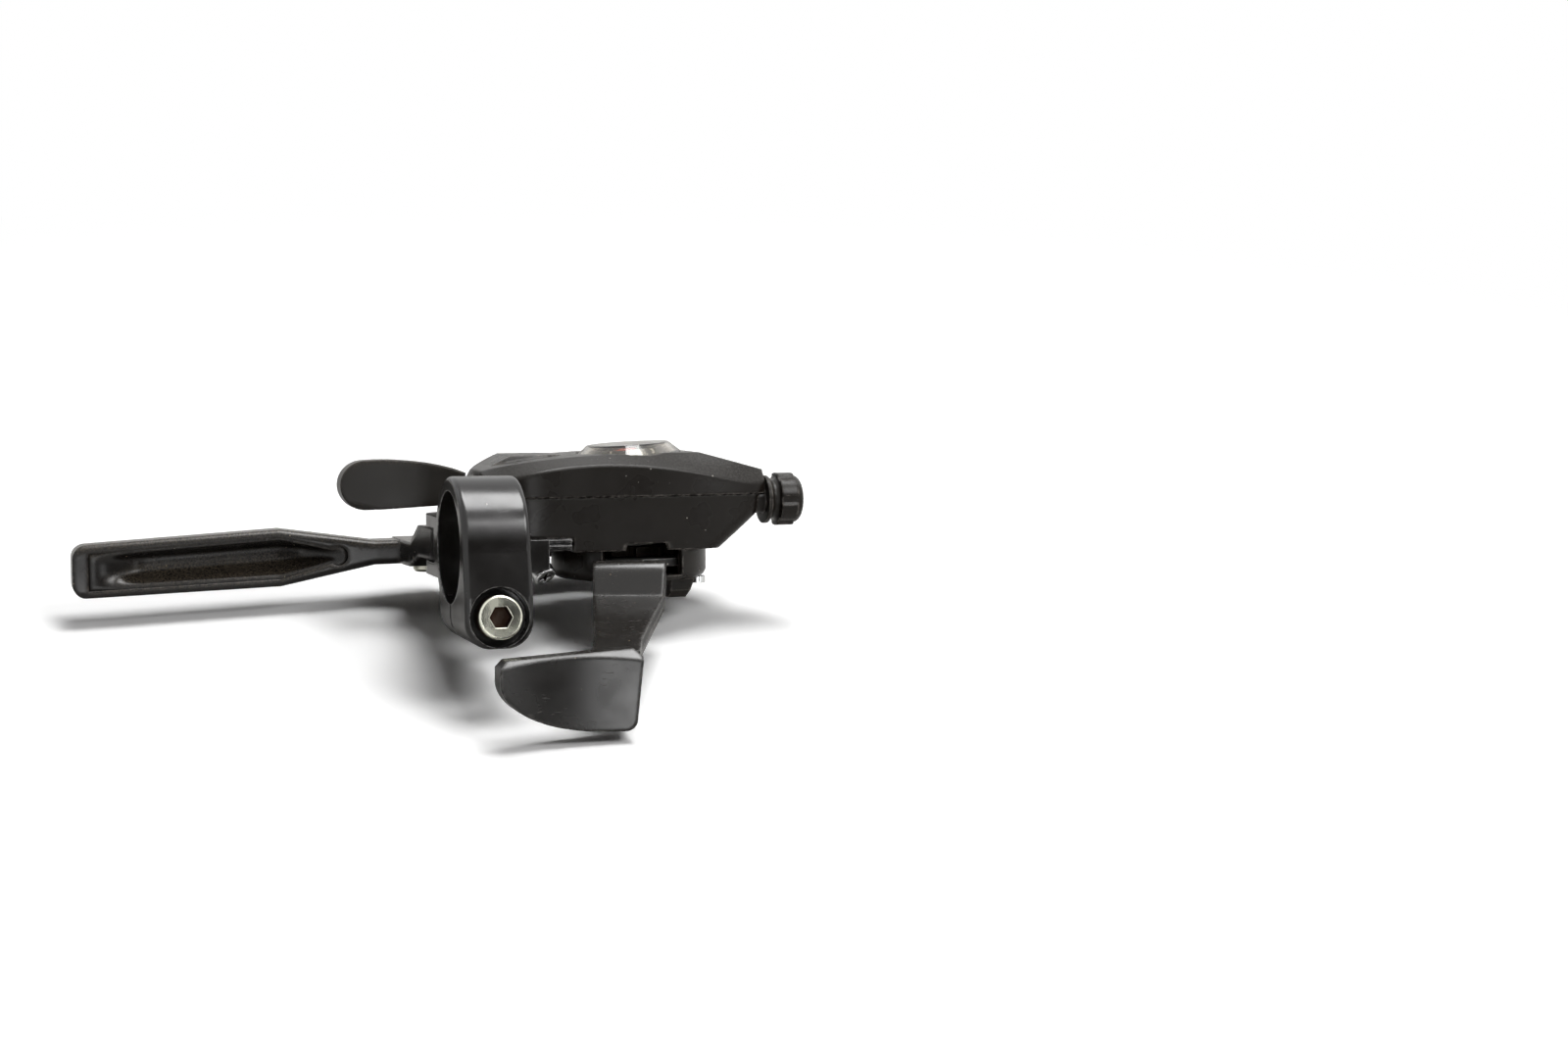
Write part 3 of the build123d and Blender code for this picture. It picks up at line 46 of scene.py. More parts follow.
camera = bpy.data.objects.new("camera", bpy.data.cameras.new("camera"))
scene.collection.objects.link(camera)
view_up = view_right.cross(view_along)
turn = Matrix((view_right, view_up, -view_along)).transposed().to_4x4()
camera.matrix_world = Matrix.Translation(view_from) @ turn
camera.data.sensor_width = sensor_width
camera.data.lens = focal_length / photo_width * sensor_width
camera.data.clip_start = nearest_seen
scene.camera = camera

# Table: one white sheet that runs on past the view, so that no edge or corner of it shows. The unit
# leans on it, its soft shadows lie on it, and away from them it is as white as the wall.
seen_down = np.radians(18.4)  # how steeply the eye looks down on it
seen_askew = np.radians(1.6)  # and how far it is off level
table_up = view_up * np.cos(seen_down) - view_along * np.sin(seen_down)
table_up = table_up * np.cos(seen_askew) + view_right * np.sin(seen_askew)
table_right = view_right * np.cos(seen_askew) - table_up * np.sin(seen_askew)
table_gap = 0.0002
table_half = 6.0
table_count = 2  # points along each side
table_white = (0.6, 0.59, 0.57, 1.0)
table_seen = (1.15, 1.15, 1.15, 1.0)  # the same sheet to the eye
table_near, table_far = 0.2, 0.5  # distances between which it fades into the wall


def new_material(name):
    """A material with an empty tree, and that tree's node maker and linker."""
    material = bpy.data.materials.new(name)
    material.use_nodes = True
    tree = material.node_tree
    tree.nodes.clear()
    return material, tree.nodes.new, tree.links.new


def lowest_along(up):
    """Least distance of any point of the pieces along a direction."""
    levels = []
    for piece in nodes.values():
        places = np.empty(3 * len(piece.data.vertices))
        piece.data.vertices.foreach_get("co", places)
        levels.append((places.reshape(-1, 3) @ up).min())
    return min(levels)


def flat_grid(half, right, up, level, count):
    """Sheet square to a direction: two parameters run from minus half to plus half across it."""
    along = np.linspace(-half, half, count)
    across, forward = np.meshgrid(along, along, indexing="ij")
    ahead = np.cross(up, right)
    return across[..., None] * right + forward[..., None] * ahead + level * up


def mesh_from_grid(name, points, closed=False):
    """Object whose faces join neighbours in a grid, wrapped round and capped where it is closed."""
    rows, columns = points.shape[:2]
    index = np.arange(rows * columns).reshape(rows, columns)
    caps = [index[0].tolist(), index[-1, ::-1].tolist()] if closed else []
    if closed:
        index = np.hstack([index, index[:, :1]])
    corners = [index[:-1, :-1], index[1:, :-1], index[1:, 1:], index[:-1, 1:]]
    faces = np.stack(corners, axis=-1).reshape(-1, 4).tolist() + caps
    mesh = bpy.data.meshes.new(name)
    mesh.from_pydata(points.reshape(-1, 3), [], faces)
    piece = bpy.data.objects.new(name, mesh)
    scene.collection.objects.link(piece)
    return piece


table_level = lowest_along(np.array(table_up)) - table_gap
table_grid = flat_grid(
    table_half, np.array(table_right), np.array(table_up), table_level, table_count
)
table = mesh_from_grid("table", table_grid)
table_paint, node, link = new_material("table_white")
path = node("ShaderNodeLightPath")
tone = node("ShaderNodeMix")
tone.data_type = "RGBA"
tone.clamp_result = False
tone.inputs["A"].default_value = table_white
tone.inputs["B"].default_value = table_seen
link(path.outputs["Is Camera Ray"], tone.inputs["Factor"])
sheet = node("ShaderNodeBsdfDiffuse")
link(tone.outputs["Result"], sheet.inputs["Color"])
place = node("ShaderNodeTexCoord")
distance = node("ShaderNodeVectorMath")
distance.operation = "LENGTH"
link(place.outputs["Object"], distance.inputs[0])
fade = node("ShaderNodeMapRange")
fade.interpolation_type = "SMOOTHSTEP"
fade.inputs["From Min"].default_value = table_near
fade.inputs["From Max"].default_value = table_far
link(distance.outputs["Value"], fade.inputs["Value"])
faded = node("ShaderNodeMath")
faded.operation = "MULTIPLY"
link(fade.outputs["Result"], faded.inputs[0])
link(path.outputs["Is Camera Ray"], faded.inputs[1])
glow = node("ShaderNodeEmission")
both = node("ShaderNodeMixShader")
link(faded.outputs[0], both.inputs["Fac"])
link(sheet.outputs[0], both.inputs[1])
link(glow.outputs[0], both.inputs[2])
output = node("ShaderNodeOutputMaterial")
link(both.outputs[0], output.inputs["Surface"])
table.data.materials.append(table_paint)

# Light: a soft box overhead and a smaller one over the shoulder of the one who looks at the unit,
# with two low windows behind and two weak lamps at the back. The room gives a low warm light. What the
# eye, metal and glass see of it is white, apart from a dim part near the one who looks.
room_level = 0.012
room_tone = (1.0, 0.88, 0.76, 1.0)
lamps = {  # place, width, height and power
    "lamp_top": ((0.2, 0.16, 1.1), 0.7, 0.42, 11.5),
    "lamp_shoulder": ((0.45, -0.56, 0.83), 0.45, 0.35, 4.2),
    "lamp_left": ((-0.75, 0.6, 0.75), 0.6, 0.6, 0.8),
    "lamp_right": ((0.85, 0.5, 0.7), 0.6, 0.6, 0.8),
    "window_left": ((-0.03, -1.45, 0.09), 0.36, 0.26, 2.0),
    "window_right": ((0.72, -1.25, 0.22), 0.3, 0.3, 0.9),
}
plain_white = (1.0, 1.0, 1.0, 1.0)
dim_way = Vector((0.27, -0.95, 0.16))
dim_level = 0.02
dim_core, dim_edge = 0.975, 0.85  # cosines of the angles from that way between which it turns white
for name, (place, width, height, power) in lamps.items():
    lamp = bpy.data.lights.new(name, "AREA")
    lamp.shape = "RECTANGLE"
    lamp.size = width
    lamp.size_y = height
    lamp.energy = power
    holder = bpy.data.objects.new(name, lamp)
    holder.location = place
    holder.rotation_mode = "QUATERNION"
    holder.rotation_quaternion = (-Vector(place)).to_track_quat("-Z", "Y")
    scene.collection.objects.link(holder)

room = bpy.data.worlds.new("room")
room.use_nodes = True
scene.world = room
room.node_tree.nodes.clear()
node, link = room.node_tree.nodes.new, room.node_tree.links.new
path = node("ShaderNodeLightPath")
way = node("ShaderNodeTexCoord")
towards = node("ShaderNodeVectorMath")
towards.operation = "DOT_PRODUCT"
towards.inputs[1].default_value = dim_way
link(way.outputs["Generated"], towards.inputs[0])
white = node("ShaderNodeMapRange")
white.interpolation_type = "SMOOTHSTEP"
white.inputs["From Min"].default_value = dim_edge
white.inputs["From Max"].default_value = dim_core
white.inputs["To Min"].default_value = 1.0
white.inputs["To Max"].default_value = dim_level
link(towards.outputs["Value"], white.inputs["Value"])
reflected = node("ShaderNodeMix")
reflected.inputs["A"].default_value = room_level
link(path.outputs["Is Glossy Ray"], reflected.inputs["Factor"])
link(white.outputs["Result"], reflected.inputs["B"])
straight = node("ShaderNodeMath")
straight.operation = "MAXIMUM"
link(path.outputs["Is Camera Ray"], straight.inputs[0])
link(path.outputs["Is Transmission Ray"], straight.inputs[1])
level = node("ShaderNodeMix")
level.inputs["B"].default_value = 1.0
link(straight.outputs[0], level.inputs["Factor"])
link(reflected.outputs["Result"], level.inputs["A"])
plain = node("ShaderNodeMath")
plain.operation = "MAXIMUM"
link(straight.outputs[0], plain.inputs[0])
link(path.outputs["Is Glossy Ray"], plain.inputs[1])
tone = node("ShaderNodeMix")
tone.data_type = "RGBA"
tone.inputs["A"].default_value = room_tone
tone.inputs["B"].default_value = plain_white
link(plain.outputs[0], tone.inputs["Factor"])
sky = node("ShaderNodeBackground")
link(tone.outputs["Result"], sky.inputs["Color"])
link(level.outputs["Result"], sky.inputs["Strength"])
output = node("ShaderNodeOutputWorld")
link(sky.outputs[0], output.inputs["Surface"])

# Bracket: one aluminium casting with the clamp band, the lever's cheeks and the cable boss.
# It is sprayed satin black, and the paint is rubbed pale along its edges and inside the bore.


def new_group(name, inputs, outputs):
    """Empty shader group with float inputs and defaults, and the outputs' names and kinds."""
    group = bpy.data.node_groups.new(name, "ShaderNodeTree")
    for label, value in inputs.items():
        socket = group.interface.new_socket(label, in_out="INPUT", socket_type="NodeSocketFloat")
        socket.default_value = value
    for label, kind in outputs.items():
        group.interface.new_socket(label, in_out="OUTPUT", socket_type="NodeSocket" + kind)
    entry = group.nodes.new("NodeGroupInput")
    leave = group.nodes.new("NodeGroupOutput")
    return group, group.nodes.new, group.links.new, entry, leave


def sum_up(node, link, operation, first, second):
    """Output of a math node on two sockets, or on a socket and a number."""
    step = node("ShaderNodeMath")
    step.operation = operation
    link(first, step.inputs[0])
    if isinstance(second, (int, float)):
        step.inputs[1].default_value = second
    else:
        link(second, step.inputs[1])
    return step.outputs[0]


def stretch(node, link, value, low, high, to_low=0.0, to_high=1.0):
    """Output that runs between two values as its input runs between two others."""
    step = node("ShaderNodeMapRange")
    step.inputs["From Min"].default_value = low
    step.inputs["From Max"].default_value = high
    step.inputs["To Min"].default_value = to_low
    step.inputs["To Max"].default_value = to_high
    link(value, step.inputs["Value"])
    return step.outputs["Result"]


def noise(node, link, vector, scale, detail):
    """Output of a noise over a vector, at so many lumps a metre."""
    step = node("ShaderNodeTexNoise")
    step.inputs["Detail"].default_value = detail
    if isinstance(scale, (int, float)):
        step.inputs["Scale"].default_value = scale
    else:
        link(scale, step.inputs["Scale"])
    link(vector, step.inputs["Vector"])
    return step.outputs["Fac"]


# fine grain of a mould or of paint, and broad patches of wear
grain_detail = 3.0
patch_scale, patch_detail = 160.0, 2.0
grain_group, node, link, entry, leave = new_group(
    "grain", {"Scale": 4000.0}, {"Height": "Float", "Patches": "Float"}
)
place = node("ShaderNodeTexCoord").outputs["Object"]
link(noise(node, link, place, entry.outputs["Scale"], grain_detail), leave.inputs["Height"])
link(noise(node, link, place, patch_scale, patch_detail), leave.inputs["Patches"])

# edges as the tool left them: a small radius in the shading, and the broken line where it is rubbed
edge_samples = 8
turn_least, turn_full = 0.975, 0.87  # cosines of the turns where the wear starts and is whole
break_scale, break_detail = 900.0, 5.0
break_low, break_high = 0.38, 0.7
edge_group, node, link, entry, leave = new_group(
    "soft_edges", {"Radius": 0.0004, "Amount": 0.5}, {"Rubbed": "Float", "Normal": "Vector"}
)
soft = node("ShaderNodeBevel")
soft.samples = edge_samples
link(entry.outputs["Radius"], soft.inputs["Radius"])
flat = node("ShaderNodeNewGeometry")
agree = node("ShaderNodeVectorMath")
agree.operation = "DOT_PRODUCT"
link(soft.outputs["Normal"], agree.inputs[0])
link(flat.outputs["Normal"], agree.inputs[1])
turned = stretch(node, link, agree.outputs["Value"], turn_least, turn_full)
place = node("ShaderNodeTexCoord").outputs["Object"]
lumps = noise(node, link, place, break_scale, break_detail)
broken = stretch(node, link, lumps, break_low, break_high)
rubbed = sum_up(node, link, "MULTIPLY", turned, broken)
link(sum_up(node, link, "MULTIPLY", rubbed, entry.outputs["Amount"]), leave.inputs["Rubbed"])
link(soft.outputs["Normal"], leave.inputs["Normal"])

# dust and painted sheen: single grains in some cells of a lattice, and a thin film on what faces up,
# which is partly settled dust and partly a painted sheen of light from above
drift_scale, drift_detail = 110.0, 3.0
powder_scale, powder_detail = 2600.0, 4.0
dust_low, dust_high = 0.35, 0.7  # of either noise
film_samples = 6
film_least, film_full = 0.26, 0.8  # upward shares of the normal where the film starts and is whole
dust_and_sheen_group, node, link, entry, leave = new_group(
    "dust",
    {"Scale": 750.0, "Size": 0.14, "Amount": 0.3, "Film": 0.0, "Reach": 0.001},
    {"Grains": "Float", "Film": "Float"},
)
place = node("ShaderNodeTexCoord")
cells = node("ShaderNodeTexVoronoi")
link(place.outputs["Object"], cells.inputs["Vector"])
link(entry.outputs["Scale"], cells.inputs["Scale"])
draw = node("ShaderNodeSeparateColor")
link(cells.outputs["Color"], draw.inputs["Color"])
size = sum_up(node, link, "MULTIPLY", draw.outputs["Green"], entry.outputs["Size"])
spot = sum_up(node, link, "LESS_THAN", cells.outputs["Distance"], size)
lumps = noise(node, link, place.outputs["Object"], drift_scale, drift_detail)
drift = stretch(node, link, lumps, dust_low, dust_high)
share = sum_up(node, link, "MULTIPLY", drift, entry.outputs["Amount"])
chosen = sum_up(node, link, "LESS_THAN", draw.outputs["Red"], share)
link(sum_up(node, link, "MULTIPLY", spot, chosen), leave.inputs["Grains"])
lie = node("ShaderNodeBevel")
lie.samples = film_samples
link(entry.outputs["Reach"], lie.inputs["Radius"])
own = node("ShaderNodeVectorTransform")
own.vector_type = "NORMAL"
own.convert_from = "WORLD"
own.convert_to = "OBJECT"
link(lie.outputs["Normal"], own.inputs["Vector"])
facing = node("ShaderNodeSeparateXYZ")
link(own.outputs["Vector"], facing.inputs[0])
upward = stretch(node, link, facing.outputs["Z"], film_least, film_full)
lumps = noise(node, link, place.outputs["Object"], powder_scale, powder_detail)
powder = stretch(node, link, lumps, dust_low, dust_high)
settled_and_lit = sum_up(node, link, "MULTIPLY", upward, powder)
link(sum_up(node, link, "MULTIPLY", settled_and_lit, entry.outputs["Film"]), leave.inputs["Film"])

# scuffs: short fine scratches, all about one way, in patches
scuff_turn = (0.0, 0.35, 0.2)
scuff_scale = (420.0, 1100.0, 2600.0)  # along and across the scratches
scuff_detail = 2.0
line_low, line_high = 0.62, 0.72
worn_scale = 130.0
worn_low, worn_high = 0.5, 0.66
scuff_group, node, link, entry, leave = new_group("scuffs", {"Amount": 0.5}, {"Mask": "Float"})
place = node("ShaderNodeTexCoord").outputs["Object"]
lay = node("ShaderNodeMapping")
lay.inputs["Rotation"].default_value = scuff_turn
lay.inputs["Scale"].default_value = scuff_scale
link(place, lay.inputs["Vector"])
lumps = noise(node, link, lay.outputs["Vector"], 1.0, scuff_detail)
lines = stretch(node, link, lumps, line_low, line_high)
lumps = noise(node, link, place, worn_scale, scuff_detail)
patches = stretch(node, link, lumps, worn_low, worn_high)
scratched = sum_up(node, link, "MULTIPLY", lines, patches)
link(sum_up(node, link, "MULTIPLY", scratched, entry.outputs["Amount"]), leave.inputs["Mask"])


def use(node, group, **values):
    """A group placed in a material, with its own values."""
    step = node("ShaderNodeGroup")
    step.node_tree = group
    for label, value in values.items():
        step.inputs[label].default_value = value
    return step


def cover(node, link, under, colour, mask):
    """Colour laid over another by a mask."""
    step = node("ShaderNodeMix")
    step.data_type = "RGBA"
    step.inputs["B"].default_value = colour
    link(mask, step.inputs["Factor"])
    if isinstance(under, tuple):
        step.inputs["A"].default_value = under
    else:
        link(under, step.inputs["A"])
    return step.outputs["Result"]


patch_low, patch_high = 0.3, 0.7
gloss_brighter, gloss_duller = 0.04, 0.05  # change of roughness from patch to patch
scuff_pale, scuff_dull = 6, 0.25
grain_strength = 0.6


def black_finish(name, colour, roughness, specular, grain, rubbed, dust, scuffs=0.0):
    """Black paint or nylon: grain, uneven gloss, soft rubbed edges, dust with a painted sheen on
    upward faces, and scuffs.

    grain is its lumps a metre and depth, rubbed the bare colour, its strength and the edges' radius,
    and dust the share of cells that hold a grain of it, its colour, the strength of the film (dust
    and a painted sheen on upward faces) and how far that spreads from corners.
    """
    material, node, link = new_material(name)
    scuffed = tuple(scuff_pale * part for part in colour[:3]) + (1.0,)
    tooth = use(node, grain_group, Scale=grain[0])
    edges = use(node, edge_group, Amount=rubbed[1], Radius=rubbed[2])
    specks = use(node, dust_and_sheen_group, Amount=dust[0], Film=dust[2], Reach=dust[3])
    marks = use(node, scuff_group, Amount=scuffs)
    paint = cover(node, link, colour, rubbed[0], edges.outputs["Rubbed"])
    paint = cover(node, link, paint, scuffed, marks.outputs["Mask"])
    # painted sheen: the film lays dust colour on upward faces and so also lightens them as if lit from
    # above
    paint = cover(node, link, paint, dust[1], specks.outputs["Film"])
    paint = cover(node, link, paint, dust[1], specks.outputs["Grains"])
    shine = (roughness - gloss_brighter, roughness + gloss_duller)
    gloss = stretch(node, link, tooth.outputs["Patches"], patch_low, patch_high, *shine)
    dull = sum_up(node, link, "MULTIPLY", marks.outputs["Mask"], scuff_dull)
    bump = node("ShaderNodeBump")
    bump.inputs["Distance"].default_value = grain[1]
    bump.inputs["Strength"].default_value = grain_strength
    link(tooth.outputs["Height"], bump.inputs["Height"])
    link(edges.outputs["Normal"], bump.inputs["Normal"])
    surface = node("ShaderNodeBsdfPrincipled")
    surface.inputs["Specular IOR Level"].default_value = specular
    link(paint, surface.inputs["Base Color"])
    link(sum_up(node, link, "ADD", gloss, dull), surface.inputs["Roughness"])
    link(bump.outputs["Normal"], surface.inputs["Normal"])
    output = node("ShaderNodeOutputMaterial")
    link(surface.outputs[0], output.inputs["Surface"])
    return material


def finish(material, *names):
    """Gives a finish to the pieces of these names."""
    for name in names:
        nodes[name].data.materials.clear()
        nodes[name].data.materials.append(material)


pale_dust = (0.4, 0.385, 0.35, 1.0)
finish(
    black_finish(
        "satin_paint",
        colour=(0.0095, 0.0085, 0.0078, 1),
        roughness=0.21,
        specular=0.5,
        grain=(1500, 5e-6),
        rubbed=((0.5, 0.49, 0.48, 1), 0.8, 0.0004),
        dust=(0.05, pale_dust, 0.0, 0.001),
        scuffs=0.15,
    ),
    "bracket",
)

# Brake lever: an aluminium casting with a channelled blade, in a duller black than the bracket.
# The channel's sides slope and its ends run out. Fine brown dust lies in it and along the neck, and
# its film on the upward slopes is also a painted sheen of light from above.
brown_dust = (0.2, 0.16, 0.11, 1.0)
lever_tilt = np.radians(12.8)  # of the lever's plane, about the handlebar
channel_x = np.array([-71.6, -32.4, -21.7]) / 1000  # tip, widest place and root
channel_top = np.array([-3.7, -1.1, -3.7]) / 1000
channel_low = np.array([-11.5, -9.9, -6.8]) / 1000
root_end, root_radius = -0.0185, 0.001975  # the rounded end at the root
root_gap = 1e-5  # keeps the last station from closing to a line
rider_x = np.array([-74.8, -32.4, -12.6]) / 1000
rider_side = np.array([52.8, 50.7, 49.4]) / 1000
floor_x = np.array([-71.6, -60.6, -32.4, -15.3]) / 1000
floor_side = np.array([54.5, 56.2, 56.2, 55.6]) / 1000
channel_lip = 0.0003  # upright wall left under the rim
channel_bed = 0.0006  # how far the lining goes into the web
wall_bed = 0.00005  # and into the walls
tip_ramp, root_ramp = 0.01, 0.009
upper_slope, lower_slope = 0.28, 0.45  # shares of the width
lining_stations, lining_columns = 90, 25


def smooth(share):
    """Runs from nought to one with no corner at either end."""
    share = np.clip(share, 0.0, 1.0)
    return share * share * (3 - 2 * share)


def channel_lining(stations, columns):
    """Trough along the blade: its depth is a smooth rise from each wall times one from each end.

    The first parameter runs along the blade and the second from the upper wall to the lower one. Two
    more columns close it behind, inside the web.
    """
    along = np.linspace(root_end - root_gap, channel_x[0], stations)
    rounded = root_radius**2 - (along - (root_end - root_radius)) ** 2
    middle = (channel_top[2] + channel_low[2]) / 2
    half = np.sqrt(np.clip(rounded, 0.0, None))
    at_root = along > channel_x[2]
    top = np.where(at_root, middle + half, np.interp(along, channel_x, channel_top)) + wall_bed
    low = np.where(at_root, middle - half, np.interp(along, channel_x, channel_low)) - wall_bed
    rim = np.interp(along, rider_x, rider_side) + channel_lip
    bed = np.interp(along, floor_x, floor_side)
    ends = smooth((along - channel_x[0]) / tip_ramp) * smooth((root_end - along) / root_ramp)
    across = np.linspace(0.0, 1.0, columns)
    sides = smooth(across / upper_slope) * smooth((1 - across) / lower_slope)
    height = top[:, None] + (low - top)[:, None] * across
    depth = rim[:, None] + (bed - rim)[:, None] * ends[:, None] * sides
    height = np.hstack([height, low[:, None], top[:, None]])
    depth = np.hstack([depth, np.repeat(bed[:, None] + channel_bed, 2, axis=1)])
    along = np.repeat(along[:, None], columns + 2, axis=1)
    forward = depth * np.cos(lever_tilt) + height * np.sin(lever_tilt)
    upward = height * np.cos(lever_tilt) - depth * np.sin(lever_tilt)
    return np.stack([along, forward, upward], axis=-1)


# film of 0.4 reaching 3 mm: brown dust and a painted sheen on the channel's upward slopes
lever_paint = black_finish(
    "lever_paint",
    colour=(0.008, 0.0068, 0.006, 1),
    roughness=0.24,
    specular=0.35,
    grain=(2600, 1.5e-5),
    rubbed=((0.1, 0.085, 0.07, 1), 0.45, 0.0014),
    dust=(0.6, brown_dust, 0.4, 0.003),
)
finish(lever_paint, "brake_lever")
lining_grid = channel_lining(lining_stations, lining_columns)
lining = mesh_from_grid("blade_channel", lining_grid, closed=True)
lining.data.polygons.foreach_set("use_smooth", np.ones(len(lining.data.polygons), bool))
lining.data.materials.append(lever_paint)
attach(lining, "brake_lever")

# Bush, axle, clip and cable hook of the lever, and the clamp's bolt and small screws: turned or
# headed steel with bright zinc plate, apart from the bush, which is brass.

# recesses: sockets, slots and inner corners that see little open sky, darkened with painted shade in a
# grease colour
recess_samples = 8
open_least, open_full = 0.8, 0.4  # shares of open sky where the painted shade starts and is whole
recess_shade_group, node, link, entry, leave = new_group("recesses", {"Depth": 0.002}, {"Mask": "Float"})
hidden = node("ShaderNodeAmbientOcclusion")
hidden.samples = recess_samples
link(entry.outputs["Depth"], hidden.inputs["Distance"])
link(stretch(node, link, hidden.outputs["AO"], open_least, open_full), leave.inputs["Mask"])

metal_grain, metal_bump, metal_edge = 2500.0, 0.00001, 0.0002
stain_low, stain_high = 0.5, 0.75
metal_brighter, metal_duller = 0.08, 0.12  # change of roughness from patch to patch
recess_dull = 0.35


def bright_metal(name, colour, roughness, stain_and_shade, stained, sunk):
    """Bare or plated metal: an uneven shine, old grease in thin patches, and painted shade in the
    grease's colour in its recesses.

    stained is the strength of the thin patches, and sunk how deep a recess has to be to get painted
    shade.
    """
    material, node, link = new_material(name)
    tooth = use(node, grain_group, Scale=metal_grain)
    edges = use(node, edge_group, Radius=metal_edge, Amount=0.0)
    patch = stretch(node, link, tooth.outputs["Patches"], stain_low, stain_high, 0.0, stained)
    shine = (roughness - metal_brighter, roughness + metal_duller)
    gloss = stretch(node, link, tooth.outputs["Patches"], patch_low, patch_high, *shine)
    bump = node("ShaderNodeBump")
    bump.inputs["Distance"].default_value = metal_bump
    link(tooth.outputs["Height"], bump.inputs["Height"])
    link(edges.outputs["Normal"], bump.inputs["Normal"])
    # painted shade: recesses are darkened towards the stain colour by ambient occlusion
    corners = use(node, recess_shade_group, Depth=sunk)
    dull = sum_up(node, link, "MULTIPLY", corners.outputs["Mask"], recess_dull)
    plate = cover(node, link, colour, stain_and_shade, patch)
    surface = node("ShaderNodeBsdfPrincipled")
    surface.inputs["Metallic"].default_value = 1.0
    link(cover(node, link, plate, stain_and_shade, corners.outputs["Mask"]), surface.inputs["Base Color"])
    link(sum_up(node, link, "ADD", gloss, dull), surface.inputs["Roughness"])
    link(bump.outputs["Normal"], surface.inputs["Normal"])
    output = node("ShaderNodeOutputMaterial")
    link(surface.outputs[0], output.inputs["Surface"])
    return material


# grease colour for the thin stain patches, and for the painted shade in the recesses
grease_and_shade = (0.05, 0.028, 0.02, 1)
finish(
    bright_metal("zinc_plate", (0.8, 0.8, 0.68, 1), 0.2, grease_and_shade, 0.1, 0.006),
    "clamp_bolt", "reach_screw", "cable_hook", "lever_axle", "axle_clip", "axle_nut",
)
finish(bright_metal("bush_brass", (0.72, 0.55, 0.25, 1), 0.35, grease_and_shade, 0.3, 0.001), "lever_bush")
finish(
    bright_metal("screw_zinc", (0.88, 0.89, 0.9, 1), 0.15, grease_and_shade, 0.1, 0.0012),
    "unit_screw", "cap_screws", "cover_screws",
)

# Mechanism inside the pod: plates and pawls pressed from steel, turned pins, wire springs and a
# moulded drum. A base plate and one axle carry them, and they are oiled.
# oil colour for the thin oil patches, and for the painted shade in the recesses
oil_and_shade = (0.02, 0.016, 0.012, 1)
finish(
    bright_metal("pressed_steel", (0.24, 0.23, 0.22, 1), 0.36, oil_and_shade, 0.5, 0.008),
    "release_arm", "base_plate", "main_axle", "ratchet_wheel", "feed_pawl", "feed_pin",
    "stop_pawl", "stop_pin", "release_pin", "drum_spring", "thumb_spring", "release_spring",
)
finish(
    black_finish(
        "drum_nylon",
        colour=(0.16, 0.155, 0.14, 1),
        roughness=0.5,
        specular=0.4,
        grain=(3000, 1e-5),
        rubbed=((0.3, 0.29, 0.27, 1), 0.3, 0.0003),
        dust=(0.0, brown_dust, 0.0, 0.001),
    ),
    "cable_drum",
)

# Pod: upper and lower covers and the cap under them, moulded in black nylon with a fine grain and
# screwed together. The cable's plug, both adjusters and the lock ring are of the same nylon.
finish(
    black_finish(
        "cover_nylon",
        colour=(0.0105, 0.0082, 0.0063, 1),
        roughness=0.29,
        specular=0.25,
        grain=(5200, 2e-5),
        rubbed=((0.24, 0.22, 0.2, 1), 0.9, 0.0008),
        dust=(0.4, pale_dust, 0.07, 0.0015),
    ),
    "upper_cover", "lower_cover", "under_cap", "cable_plug",
    "shift_barrel", "brake_barrel", "barrel_locknut",
)

# Release trigger: a flat finger piece in front of the pod, moulded over its steel arm in the same
# nylon. It is duller than the covers, and brown dust is rubbed into it.
finish(
    black_finish(
        "trigger_nylon",
        colour=(0.012, 0.0098, 0.0078, 1),
        roughness=0.36,
        specular=0.35,
        grain=(4200, 2e-5),
        rubbed=((0.14, 0.12, 0.1, 1), 0.5, 0.001),
        dust=(1.0, brown_dust, 0.2, 0.002),
    ),
    "release_paddle",
)

# Thumb lever: a bent steel arm under a black moulded sleeve, and a smooth thumb piece, which the
# thumb has polished and scuffed.
finish(
    black_finish(
        "sleeve_nylon",
        colour=(0.011, 0.0108, 0.0105, 1),
        roughness=0.42,
        specular=0.4,
        grain=(3600, 1.5e-5),
        rubbed=((0.5, 0.48, 0.45, 1), 0.8, 0.0004),
        dust=(0.8, pale_dust, 0.1, 0.001),
    ),
    "thumb_arm",
)
finish(
    black_finish(
        "thumb_nylon",
        colour=(0.0105, 0.0094, 0.0084, 1),
        roughness=0.25,
        specular=0.5,
        grain=(2800, 4e-6),
        rubbed=((0.2, 0.19, 0.18, 1), 0.5, 0.001),
        dust=(0.3, brown_dust, 0.05, 0.001),
        scuffs=0.9,
    ),
    "thumb_paddle",
)

# Indicator: a dark printed dial with white numbers on its sloping ring, a red needle and a clear
# moulded lens that has dulled and browned with age.
finish(
    black_finish(
        "dial_print",
        colour=(0.03, 0.03, 0.03, 1),
        roughness=0.5,
        specular=0.4,
        grain=(3000, 1e-5),
        rubbed=((0.05, 0.05, 0.05, 1), 0.2, 0.0002),
        dust=(0.0, brown_dust, 0.0, 0.001),
    ),
    "dial",
)
finish(
    black_finish(
        "needle_red",
        colour=(0.6, 0.05, 0.02, 1),
        roughness=0.45,
        specular=0.4,
        grain=(3000, 1e-5),
        rubbed=((0.7, 0.2, 0.1, 1), 0.1, 0.0002),
        dust=(0.0, brown_dust, 0.0, 0.001),
    ),
    "pointer",
)

